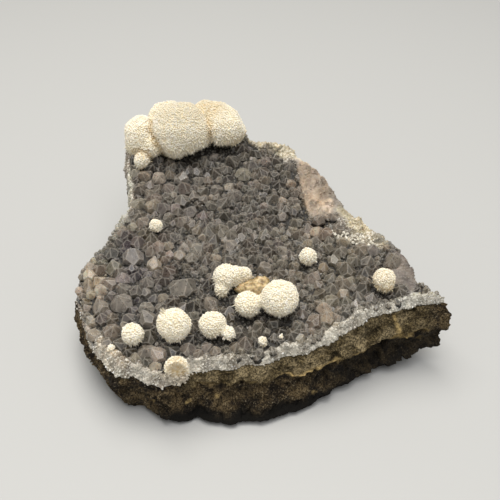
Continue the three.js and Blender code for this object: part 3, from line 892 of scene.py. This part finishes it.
# ---- the crust under the points ---------------------------------------------------------------------------
def block_above(name, gap, height, step):
    """A closed block wider than the crust, whose underside follows the growth surface, in millimetres."""
    x, y = np.meshgrid(np.arange(-78, 81, step), np.arange(-82, 66, step), indexing="ij")
    under = np.stack([x, y, ground(x, y) + gap], -1).reshape(-1, 3)
    index = np.arange(len(under)).reshape(x.shape)
    quads = np.stack([index[:-1, :-1], index[1:, :-1], index[1:, 1:], index[:-1, 1:]], -1).reshape(-1, 4)
    border = np.concatenate([index[:, 0], index[-1, 1:], index[-2::-1, -1], index[0, -2:0:-1]])
    walls = [(a, b, b + len(under), a + len(under)) for a, b in zip(border, np.roll(border, -1))]
    faces = [*(quads + len(under)), *quads[:, ::-1], *walls]
    return new_piece(name, np.concatenate([under, under + [0, 0, height]]), faces)


# Chips of a broken surface: their size, how deep they go, how much their faces tilt, and a seed.
CRUST_CHIPS = [(5.0, 1.2, 0.25, 7), (2.2, 0.7, 0.3, 8)]
ROCK_CHIPS = [(8.0, 1.5, 0.35, 1), (3.4, 1.0, 0.5, 2), (1.6, 0.6, 0.5, 3)]


def chipped(place, size, deep, tilt, seed):
    """How far flat chips of one size raise or sink a surface, in millimetres."""
    _, _, luck, way = nearest_cells(place, size, seed)
    return deep * (luck[:, 0] - 0.5) + tilt * ((luck - 0.5) * way).sum(1)


def make_crust(plan):
    """The massive quartz under the points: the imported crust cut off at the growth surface, with its broken
    sides made rough."""
    crust = merged_copy("quartz_druse", "quartz_crust")
    above = block_above("above", gap=0.1, height=13.9, step=4)
    apply_modifier(crust, "BOOLEAN", operation="DIFFERENCE", object=above, solver="MANIFOLD")
    bpy.data.objects.remove(above)
    apply_modifier(crust, "REMESH", mode="VOXEL", voxel_size=0.7 * MM)
    place, normal = points_of(crust), normals_of(crust)
    x, y, _ = place.T
    edge, smooth = plan.edge(x, y), polished(x, y)
    upper = smoothstep(0.3, 0.7, normal[:, 2])
    side = smoothstep(0.9, 0.5, np.abs(normal[:, 2]))
    whole = massive(plan, x, y) * np.maximum(upper, side)
    chips = sum(chipped(place, *row) for row in CRUST_CHIPS)
    rough = np.maximum(0.7 * side, whole) * lerp(1.0, 0.3, smooth)
    raised = normal * ((chips + 0.1) * rough - 1.5 * side * bare_left(x, y))[:, None]
    raised[:, 2] += 1.1 * whole * upper * smoothstep(0, 1.6, edge) - 1.8 * upper * smoothstep(67, 76, x)
    move_points(crust, place + raised)
    tint = druse_colour(x, y, np.random.default_rng(5), 0.05)
    tint = tinted(tint, "#d5cebf", rim_share(plan, x, y))
    streak = chalk_of(x, y) * upper
    set_colours(crust, "tint", tinted(tint, "#bdb29c", streak), "POINT")
    near_rim = front_of(x, y) * smoothstep(3.4, 1.8, edge)
    broken = side * smoothstep(3.5, 1.5, edge)
    # The finish paints the crust nearly black, as painted shade, wherever it is not open to view: under the
    # points.
    set_attribute(crust, "open", np.maximum.reduce([whole, streak, near_rim, broken]))
    set_attribute(crust, "sugary", lerp(0.85, 0.12, smooth))
    return crust


def rim_share(plan, x, y):
    """How chalky the quartz is: most along the broken front rim."""
    cloudy = 0.6 + 0.8 * lattice_noise(x / 3.2, y / 3.2, 9) + 0.25 * smoothstep(32, 42, x)
    left = lerp(0.75, 1.0, smoothstep(-50, -30, x))
    return np.clip(left * smoothstep(3.6, 0.3, plan.edge(x, y)) * front_of(x, y) * cloudy, 0, 1)


# ---- fine quartz ------------------------------------------------------------------------------------------
# Each of these three gives the places, axes, radii and colours of its grains.
def sugar_between(plan, crust, random):
    """Grains in the gaps between the points, and chalk-white ones along the streak."""
    place, _ = spread(crust, 2.4, random, lambda spot, normal: smoothstep(0.5, 0.8, normal[:, 2]))
    place = place[place[:, 2] > ground(place[:, 0], place[:, 1]) - 1.5]
    x, y, _ = place.T
    place = place[random.uniform(0, 1, len(place)) > 0.985 * polished(x, y) * (1 - chalk_of(x, y))]
    place = place[thinned(place, lerp(1.15, 0.8, chalk_of(place[:, 0], place[:, 1])))]
    x, y = place[:, 0], place[:, 1]
    whole, edge = massive(plan, x, y), plan.edge(x, y)
    place[:, 2] += random.uniform(-0.2, 0.9, len(place)) * (1 - whole)
    colour = druse_colour(x, y, random, 0.45 - 0.2 * whole)
    # Painted shade: grains near the balls and down in the gaps between the points are painted darker; those on
    # massive quartz or near the edge stay lighter.
    in_the_open = np.maximum(whole, smoothstep(3, 0.5, edge))
    shade = shade_beside_balls(tree_of(OKENITE_NODES), place) * lerp(0.22, 1.0, in_the_open)
    colour[:, :3] *= shade[:, None] * np.array([1.0, 0.97, 0.82])
    colour = tinted(colour, "#d8d1c2", rim_share(plan, x, y) * whole)
    chalky = chalk_of(x, y) * random.uniform(0.15, 1, len(x)) > 0.3
    colour[chalky] = linear("#f3eddd")
    place[chalky, 2] += random.uniform(0.3, 1.0, chalky.sum())
    radius = random.uniform(0.35, 0.7, len(place)) * lerp(1, 0.7, whole) + 0.15 * chalky
    axis = unit(bed_normal(x, y) + random.normal(0, 0.35, (len(place), 3)))
    return place, axis, radius, colour


def sugar_heap(random, count=90):
    """A low heap of grains round the foot of the broken ball."""
    foot = np.array([BROKEN_CENTRE[0], -77.9, 22.6])
    place = foot + random.normal(0, 1, (count, 3)) * [2.6, 0.45, 0.75]
    place[:, 2] += 0.1 * (place[:, 0] - foot[0]) ** 2
    radius = random.uniform(0.35, 0.8, count)
    axis = unit(random.normal(0, 1, place.shape) + [0, -0.6, 1])
    return place, axis, radius, tinted(druse_colour(*place[:, :2].T, random, 0.2), "#cfc6b2", 0.6)


def sugar_on_sides(crust, random):
    """Grains that stud the broken sides of the crust, chalkiest low down along the front."""
    place, out = spread(crust, 2.0, random, lambda spot, normal: smoothstep(0.8, 0.45, normal[:, 2]))
    kept = thinned(place, 0.9)
    place, out = place[kept], out[kept]
    x, y, z = place.T
    colour = druse_colour(x, y, random, 0.2)
    low = smoothstep(-0.6, -3.2, z - ground(x, y) + 0.7 * lattice_noise(x / 3, y / 3, 1))
    cloudy = 0.85 + 1.2 * lattice_noise(*(place / 3.2).T) - 0.2 * smoothstep(58, 68, x)
    chalk = 0.1 + 0.25 * low + smoothstep(-20, -45, y) * cloudy * lerp(0.45, 0.85, low)
    colour = tinted(colour, "#eae6d9", np.clip(chalk, 0, 1))
    colour[:, :3] *= np.exp(random.normal(0, 0.34, (len(place), 1)))
    axis = unit(out + random.normal(0, 0.5, place.shape))
    return place, axis, random.uniform(0.22, 0.45, len(place)), colour


def make_sugar(plan, crust):
    """Fine quartz: small grains between the points and on all that is broken."""
    random = np.random.default_rng(31)
    groups = [sugar_between(plan, crust, random), sugar_heap(random), sugar_on_sides(crust, random)]
    place, axis, radius, colour = (np.concatenate(columns) for columns in zip(*groups))
    length = radius * random.uniform(1.1, 1.9, len(radius))
    points, faces = grains(place, axis, radius, length, random)
    sugar = new_piece("quartz_sugar", points, faces)
    set_colours(sugar, "tint", np.repeat(np.clip(colour, 0, 1), len(faces) // len(place), 0))
    return sugar


# ---- basalt -----------------------------------------------------------------------------------------------
def make_basalt():
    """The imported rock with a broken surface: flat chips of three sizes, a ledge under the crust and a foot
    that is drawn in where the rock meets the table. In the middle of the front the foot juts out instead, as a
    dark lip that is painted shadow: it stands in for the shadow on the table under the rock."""
    rock = merged_copy("basalt_matrix", "basalt")
    apply_modifier(rock, "REMESH", mode="VOXEL", voxel_size=0.8 * MM)
    place, normal = points_of(rock), normals_of(rock)
    x, y, z = place.T
    side = smoothstep(0.8, 0.5, np.abs(normal[:, 2]))
    corner = smoothstep(63, 70, x) * smoothstep(-28, -38, y)
    back_left = smoothstep(-44, -52, x) * smoothstep(-16, -6, y)

    foot = smoothstep(0.8, 7.0, z)
    squat = place * [1, 1, 1.25]  # the chips are wider than high
    large, *small = ROCK_CHIPS
    chips = foot * (1 - 0.7 * np.maximum(corner, bare_left(x, y))) * chipped(squat, *large)
    chips += smoothstep(0.8, 4.5, z) * sum(chipped(squat, *row) for row in small)
    moved = place + normal * ((chips - 0.2 * foot) * side)[:, None]

    facing = smoothstep(0.2, 0.7, -normal[:, 1]) * smoothstep(-44, -28, x)
    brow_height, brow_reach = 4.5, 2.6
    # Painted shadow: in the middle of the front the foot juts out by up to 6.4 mm, a dark lip in place of the
    # shadow on the table.
    foot_reach = lerp(-5.0, 6.4, smoothstep(-42, -24, x) * smoothstep(34, 14, x))
    low_brow = lerp(foot_reach, brow_reach, smoothstep(0, brow_height, z))
    brow = np.where(z > brow_height, brow_reach * smoothstep(13, brow_height, z), low_brow)
    reach = lerp(-2.0 * smoothstep(2.5, 0.0, z), brow, facing) - 1.8 * back_left - 0.3 * bare_left(x, y)
    moved += normal * [1, 1, 0] * (side * reach)[:, None]
    moved[:, 0] += 2.0 * corner * smoothstep(0.0, 0.5, normal[:, 0]) * smoothstep(6, 14, z)
    move_points(rock, moved)

    # Painted shadow on the jutting foot, and painted shade in the pits between the chips.
    painted_foot_shadow = smoothstep(7.5, 3.5, z + 1.2 * lattice_noise(x / 4, y / 4, 1)) * facing * side
    pit_shade = 0.5 * smoothstep(-0.4, -1.4, chips) * side
    mark_basalt(rock, place, np.maximum(painted_foot_shadow, pit_shade))
    return rock


def mark_basalt(rock, place, shade):
    """Where the rock is painted dark as shade, where its olive layer shows, where it is chipped to tan, and
    where the ledge has its painted highlight.
    """
    x, y, z = place.T
    under = bed_height(x, y) - 4 - z + 0.8 * lattice_noise(x / 6, y / 6, 2)
    ledge = lerp(9.0, 5.0, smoothstep(-60, -68, y)) * lerp(1, 1.25, smoothstep(30, 60, x))
    right = smoothstep(22, 36, x) * smoothstep(-28, -40, y)
    # Painted shade: below the ledge at the right, where the rock is undercut.
    shade_under_right = 0.75 * smoothstep(ledge + 0.6, ledge + 2.0, under) * right
    left_end = smoothstep(-27, -20, x + 2 * lattice_noise(y / 3, z / 3, 4))
    front = smoothstep(-28, -52, y) * left_end * smoothstep(73, 66, x)
    # Painted highlight: the golden line along the ledge, brightest to the right.
    line = np.exp(-(((under - ledge) / 0.6) ** 2)) * front * lerp(0.35, 1.0, smoothstep(8, 15, x))
    set_attribute(rock, "shade", np.maximum(shade, shade_under_right))
    # The olive layer, partly its own colour and partly painted light on its sloping face.
    set_attribute(rock, "band", smoothstep(ledge + 0.5, ledge - 0.5, under) * front)
    set_attribute(rock, "tan_and_ledge_highlight", np.maximum(line, 0.8 * tan_chips(place)))


# Tan chips and streaks in the front of the rock: their two ends and their half width, in millimetres.
TAN_CHIPS = [
    ((55.4, -49.8, 27), (57.2, -51, 23.1), 0.6), ((57.2, -51, 23.1), (59.9, -49.3, 17), 0.9),
    ((66.3, -47.7, 15.2), (66.6, -47.7, 14.6), 1.1), ((34.1, -61, 14.3), (35.4, -60.2, 14.8), 0.9),
    ((23.3, -67.5, 6.5), (24.2, -67, 6.2), 0.7), ((-24.3, -74.2, 8.0), (-23.4, -74, 8), 0.7),
    ((-36.5, -77.5, 10), (-35.6, -77.5, 9.8), 0.6), ((-12.5, -73.2, 10.3), (-11.5, -73.2, 10), 0.6),
]


def tan_chips(place):
    """Where the tan chips show on the rock, from 0 to 1."""
    shown = np.zeros(len(place))
    wander = 0.5 * lattice_noise(*(place / 1.3).T)
    for start, end, half in TAN_CHIPS:
        way = np.subtract(end, start)
        share = np.clip((place - start) @ way / (way @ way), 0, 1)[:, None]
        offset = (place - lerp(np.array(start), np.array(end), share)) * [1, 0.4, 1]
        shown = np.maximum(shown, smoothstep(1.2, 0.7, (np.linalg.norm(offset, axis=1) + wander) / half))
    return shown


# ---- okenite ----------------------------------------------------------------------------------------------
# The balls grown together at the back: centre, radius and stretch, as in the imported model.
CLUSTER_BALLS = [
    ((-31.8, 38.5, 61.2), 13.6, (1, 1, 0.97)), ((-49.6, 39.5, 57.2), 10, (0.9, 1, 1.05)),
    ((-11.2, 42, 61.2), 9.8, (1, 1, 0.95)), ((-17, 51.5, 61.4), 10, (1.1, 0.9, 0.78)),
    ((-38, 50.5, 60.8), 10, (1.1, 0.9, 0.93)), ((-49, 28.6, 51.8), 4.2, (1, 1, 1)),
    ((-44, 33, 56), 5.2, (1, 1, 1)),
]
BEHIND = (3, 4)  # the balls at the back, whose creases are faint
ONE_BALL = (1, 6)  # two forms that make one ball, with no crease between them

# The fibres are hair-thin. They are drawn as blunt bundles, so that their grain shows.
BUNDLE_APART = 0.64  # mm between bundles
BUNDLE_DEEP = 0.6  # mm that the gaps between bundles run in
BUNDLES_TRIED = 9.0  # places for bundles on a square millimetre, before they are thinned
TUFTS = 0.9  # tufts on a square millimetre, where they hang thickest
HIDDEN_ROOT = 0.9  # mm of a needle or a tuft that lies inside the body

# Lumps that round off the cluster: centre and radius, in millimetres.
CLUSTER_LUMPS = [
    ((-20.0, 46.0, 63.0), 7.2), ((-20.5, 50.0, 64.2), 6.4),
    ((-14.5, 48.0, 63.6), 7.0), ((-44.0, 33.0, 56.0), 5.2),
]
# The kidney: two balls, a small lump at the left one's foot and the saddle between the balls.
KIDNEY = [
    ((-9.6, -35.2, 35.6), 5.3), ((-2.4, -33.0, 34.8), 3.6),
    ((-11.4, -39.6, 32.6), 3.1), ((-6.2, -34.6, 35.5), 4.5),
]
# How wide and how high the balls stand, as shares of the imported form.
STATURE = {
    "okenite_twin_large": (1.0, 0.9), "okenite_ball_left": (0.94, 0.88), "okenite_ball_front": (1.0, 0.95),
    "okenite_twin_small": (0.98, 0.93), "okenite_ball_right": (1.0, 0.94), "okenite_ball_rear": (1.0, 0.95),
}
# Where quartz has pressed the underside of the cluster flat: a place on the flat, the way it faces, and the
# stretch of x that it holds for, all in millimetres.
PRESSED = [
    ((-25.4, 15.8, 62.4), (0.383, -0.416, -0.825), (-36, -18)),
    ((-8.7, 22.1, 62.9), (0.136, -0.468, -0.873), (-19, 5)),
]
# The broken ball: its centre, its radius, and a place on the break with the way the break faces.
BROKEN_CENTRE, BROKEN_RADIUS = np.array([-26.3, -74.6, 25.5]), 4.6
BREAK_PLACE, BREAK_FACES = np.array([-26.3, -77.2, 25.0]), unit(np.array([0.15, -1.0, 0.25]))


def crease_of(node, place):
    """How near each place is to a crease between two balls of the cluster, from 0 to 1."""
    if node != "okenite_cluster":
        return np.zeros(len(place))
    skins = []
    for centre, radius, stretch in CLUSTER_BALLS:
        skins.append((np.linalg.norm((place - centre) / (radius * np.array(stretch)), axis=1) - 1) * radius)
    order = np.argsort(skins, 0)
    first, second = np.sort(skins, 0)[:2]
    behind = np.isin(order[0], BEHIND) | np.isin(order[1], BEHIND)
    within = np.isin(order[0], ONE_BALL) & np.isin(order[1], ONE_BALL)
    strength = np.where(within, 0.0, np.where(behind, 0.3, 1.0)) * smoothstep(70, 64, place[:, 2])
    return np.exp(-(((second - first) / 2.2) ** 2)) * strength


def over_bed(place):
    """How high places are over the growth surface, in millimetres."""
    return place[:, 2] - bed_height(place[:, 0], place[:, 1])


def stain_of(node, place):
    """Tan where a ball rests on the quartz, and along the creases of the cluster."""
    stain = 0.55 * smoothstep(4.5, 0.5, over_bed(place))
    if node == "okenite_cluster":
        crest = np.exp(-(np.linalg.norm((place - [-19.5, 47, 69]) / [8, 9, 7], axis=1) ** 2))
        low_right = 0.5 * smoothstep(-16, -8, place[:, 0]) * smoothstep(61, 57, place[:, 2])
        stain = np.maximum.reduce([stain, 0.8 * crease_of(node, place), 0.6 * crest, low_right])
    if node == "okenite_ball_right":
        stain = np.maximum(stain, lerp(0.25, 0.8, smoothstep(9, 2, over_bed(place))))
    if node == "okenite_broken_ball":
        inside = np.linalg.norm(place - BROKEN_CENTRE, axis=1) / BROKEN_RADIUS
        stain = np.maximum(stain, smoothstep(1.0, 0.7, inside))
    return stain


def fringe_of(place, normal):
    """Where single needles hang out below a ball, from 0 to 1."""
    pressed = 0.7 * smoothstep(40, 34, place[:, 1]) * smoothstep(52, 56, place[:, 2])
    return np.maximum(smoothstep(6.5, 1.5, over_bed(place)), pressed) * smoothstep(0.1, -0.6, normal[:, 2])


def ball(centre_mm, radius_mm):
    centre = Vector(centre_mm) * MM
    bpy.ops.object.select_all(action="DESELECT")
    bpy.ops.mesh.primitive_ico_sphere_add(subdivisions=3, radius=radius_mm * MM, location=centre)
    bpy.ops.object.transform_apply(location=True, rotation=True, scale=True)
    return bpy.context.object


def settle(body, node):
    """Give a piece its own stature, and press the cluster flat where it sits down on the quartz."""
    place = points_of(body)
    if node in STATURE:
        wide, high = STATURE[node]
        middle, top = place.mean(0), place[:, 2].max()
        place[:, :2] = middle[:2] + (place[:, :2] - middle[:2]) * wide
        place[:, 2] = top + (place[:, 2] - top) * high
    if node == "okenite_cluster":
        for spot, faces, (start, end) in PRESSED:
            faces = unit(np.array(faces))
            uneven = 0.9 * lattice_noise(*(place / 2.6).T)
            over = np.maximum((place - spot) @ faces + uneven, 0)
            held = smoothstep(start - 2, start + 2, place[:, 0]) * smoothstep(end + 2, end - 2, place[:, 0])
            place -= (over * held)[:, None] * faces
    move_points(body, place)


def okenite_body(node):
    """A piece's own form, out to the tips of its bundles: rounded, settled and a little uneven."""
    name = node.replace("okenite", "puff")
    cluster = node == "okenite_cluster"
    if node == "okenite_kidney":
        body = joined([ball(*lump) for lump in KIDNEY])
        body.name = name
    else:
        lumps = CLUSTER_LUMPS if cluster else []
        body = joined([merged_copy(node, name)] + [ball(*lump) for lump in lumps])
    apply_modifier(body, "REMESH", mode="VOXEL", voxel_size=(0.75 if cluster else 0.6) * MM)
    apply_modifier(body, "SMOOTH", factor=0.5, iterations=5 if cluster else 2)
    settle(body, node)
    place, normal = points_of(body), normals_of(body)
    swell = 0.35 * lattice_noise(*(place / 4.5).T) + 0.3 * lattice_noise(*(place / 8 + 3).T) - 0.15
    move_points(body, place + normal * swell[:, None])
    return body


def on_break(place, normal):
    """Whether places of the broken ball lie on its break."""
    return (np.abs((place - BREAK_PLACE) @ BREAK_FACES) < 0.7) & (normal @ BREAK_FACES > 0.7)


def bundles_on(body, node, random):
    """Blunt bundles of fibres, close together, out to the skin of a body: their places and their shapes."""
    spot, out = spread(body, BUNDLES_TRIED, random)
    kept = thinned(spot, BUNDLE_APART * random.uniform(0.8, 1.25, len(spot)))
    spot, out = spot[kept], out[kept]
    if node == "okenite_broken_ball":
        whole = ~on_break(spot, out)
        spot, out = spot[whole], out[whole]
    crease = crease_of(node, spot)
    lean = unit(out + random.normal(0, 0.16, spot.shape))
    uneven = random.normal(0.0, 0.14 + 0.3 * fringe_of(spot, out), len(spot))
    tip = spot + lean * (uneven - 0.6 * crease)[:, None]
    root = spot - out * (BUNDLE_DEEP + 0.6 * crease)[:, None]
    return spot, spikes(root, tip, random.uniform(0.42, 0.6, len(spot)), 5, random, waist=(0.72, 0.8))


def needles_on(body, per_mm2, random):
    """Single needles between the bundles, longest where they hang below a ball."""
    spot, out = spread(body, per_mm2, random)
    fringe = fringe_of(spot, out)
    lean = unit(out + random.normal(0, 0.2, spot.shape) - np.outer(0.1 + 0.4 * fringe, [0, 0, 1]))
    reach = random.uniform(0.1, 0.3, len(spot)) + 1.3 * fringe * random.uniform(0, 1, len(spot))
    thick = random.uniform(0.08, 0.14, len(spot)) + 0.12 * fringe
    return spikes(spot - out * HIDDEN_ROOT, spot + lean * reach[:, None], thick, 3, random)


def tufts_on(body, random):
    """Small tufts that hang out below a ball, shorter on a small one."""
    spot, out = spread(body, TUFTS, random, fringe_of)
    droop = unit(out + random.normal(0, 0.25, spot.shape) - [0, 0, 0.3])
    length = random.uniform(0.5, 1.9, len(spot)) * min(1.0, np.ptp(points_of(body)[:, 2]) / 11)
    thick = random.uniform(0.25, 0.4, len(spot))
    return spikes(spot - out * HIDDEN_ROOT, spot + droop * length[:, None], thick, 4, random)


def break_fibres(random, count=520):
    """The fibres that the break lays open: they run out from the ball's middle to its white rim."""
    middle = BROKEN_CENTRE + ((BREAK_PLACE - BROKEN_CENTRE) @ BREAK_FACES) * BREAK_FACES
    reach = math.sqrt(BROKEN_RADIUS ** 2 - np.linalg.norm(middle - BROKEN_CENTRE) ** 2)
    level = unit(np.cross(BREAK_FACES, [0, 0, 1.0]))
    upright = np.cross(level, BREAK_FACES)
    turn = random.uniform(0, 2 * math.pi, count)
    away = np.cos(turn)[:, None] * level + np.sin(turn)[:, None] * upright
    start = random.uniform(0, 0.75, count) * reach
    end = np.minimum(start + random.uniform(0.8, 2.4, count), reach * random.uniform(0.95, 1.08, count))
    lift = random.uniform(-0.1, 0.35, count)[:, None] * BREAK_FACES
    root = middle + away * start[:, None] - 0.15 * BREAK_FACES
    return spikes(root, middle + away * end[:, None] + lift, random.uniform(0.13, 0.24, count), 3, random)


def splinter(random, count=16):
    """A loose splinter of fibres that stands up at one side of the front ball."""
    foot = np.array([-32.0, -57.6, 36.6]) + random.normal(0, 0.35, (count, 3))
    lean = unit(np.array([-0.25, 0.1, 1.0]) + random.normal(0, 0.3, (count, 3)))
    return spikes(foot, foot + lean * random.uniform(1.4, 2.8, (count, 1)), np.full(count, 0.3), 4, random)


def luck_of(fibres, low, high, random):
    """How bright each fibre is. Every fibre has one tip, where the share is 1."""
    _, _, share = fibres
    return random.uniform(low, high, np.count_nonzero(share == 1))


def make_okenite(node):
    """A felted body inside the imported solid, with blunt bundles of fibres out to its skin, and single needles
    and tufts between and below them."""
    random = np.random.default_rng(sum(map(ord, node)))
    body = okenite_body(node)
    spot, bundles = bundles_on(body, node, random)
    needles = needles_on(body, 2.4 if node == "okenite_cluster" else 3.0, random)
    tufts = tufts_on(body, random)
    duller_top = 1 - 0.75 * smoothstep(66, 72, spot[:, 2])  # the top of the cluster is duller
    grown = [
        ("bundles", bundles, luck_of(bundles, 0.65, 1, random) * duller_top),
        ("needles", needles, luck_of(needles, 0.7, 1, random)),
        ("tufts", tufts, luck_of(tufts, 0.6, 0.9, random)),
    ]
    if node == "okenite_broken_ball":
        fibres = break_fibres(random)
        grown.append(("break", fibres, luck_of(fibres, 0.5, 0.9, random)))
    if node == "okenite_ball_front":
        fibres = splinter(random)
        grown.append(("splinter", fibres, luck_of(fibres, 0.5, 1, random)))

    place, normal = points_of(body), normals_of(body)
    sunk = 0.85 * BUNDLE_DEEP + crease_of(node, place)
    move_points(body, place - normal * sunk[:, None])
    set_attribute(body, "tip", np.zeros(len(place)))
    set_attribute(body, "stain", stain_of(node, place))
    set_attribute(body, "luck", np.full(len(place), 0.7))
    parts = [body]
    for name, (points, faces, share), luck in grown:
        part = new_piece(f"{body.name}_{name}", points, faces)
        set_attribute(part, "tip", share)
        set_attribute(part, "stain", stain_of(node, points))
        set_attribute(part, "luck", np.repeat(luck, len(points) // len(luck)))
        parts.append(part)
    return joined(parts)


# ---- gyrolite ---------------------------------------------------------------------------------------------
SIDE_LUMP = ((4.6, -34.8, 31.2), 3.6)  # centre and radius


def make_gyrolite():
    """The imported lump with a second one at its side, both of them knobbly."""
    lump = joined([merged_copy("gyrolite_lump", "gyrolite"), ball(*SIDE_LUMP)])
    apply_modifier(lump, "REMESH", mode="VOXEL", voxel_size=0.35 * MM)
    place, normal = points_of(lump), normals_of(lump)
    knob, _, _, _ = nearest_cells(place, size=2.0, seed=9)
    move_points(lump, place + normal * (0.35 - 0.6 * knob)[:, None])
    only(lump)
    bpy.ops.object.shade_smooth()
    return lump


# ---- the specimen -----------------------------------------------------------------------------------------
make_camera()
make_stage()
plan = Plan()
finish(make_basalt(), basalt_finish(), "basalt_matrix")
crust = finish(make_crust(plan), crust_finish(), "quartz_druse")
finish(make_sugar(plan, crust), sugar_finish(), "quartz_druse")
finish(make_points(plan), points_finish(), "quartz_druse")
finish(make_gyrolite(), gyrolite_finish(), "gyrolite_lump")
okenite = okenite_finish()
for name in OKENITE_NODES:
    finish(make_okenite(name), okenite, name)

boxes = {"cad": cad_box, "visual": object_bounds()}
{key: [list(map(float, corner)) for corner in box] for key, box in boxes.items()}
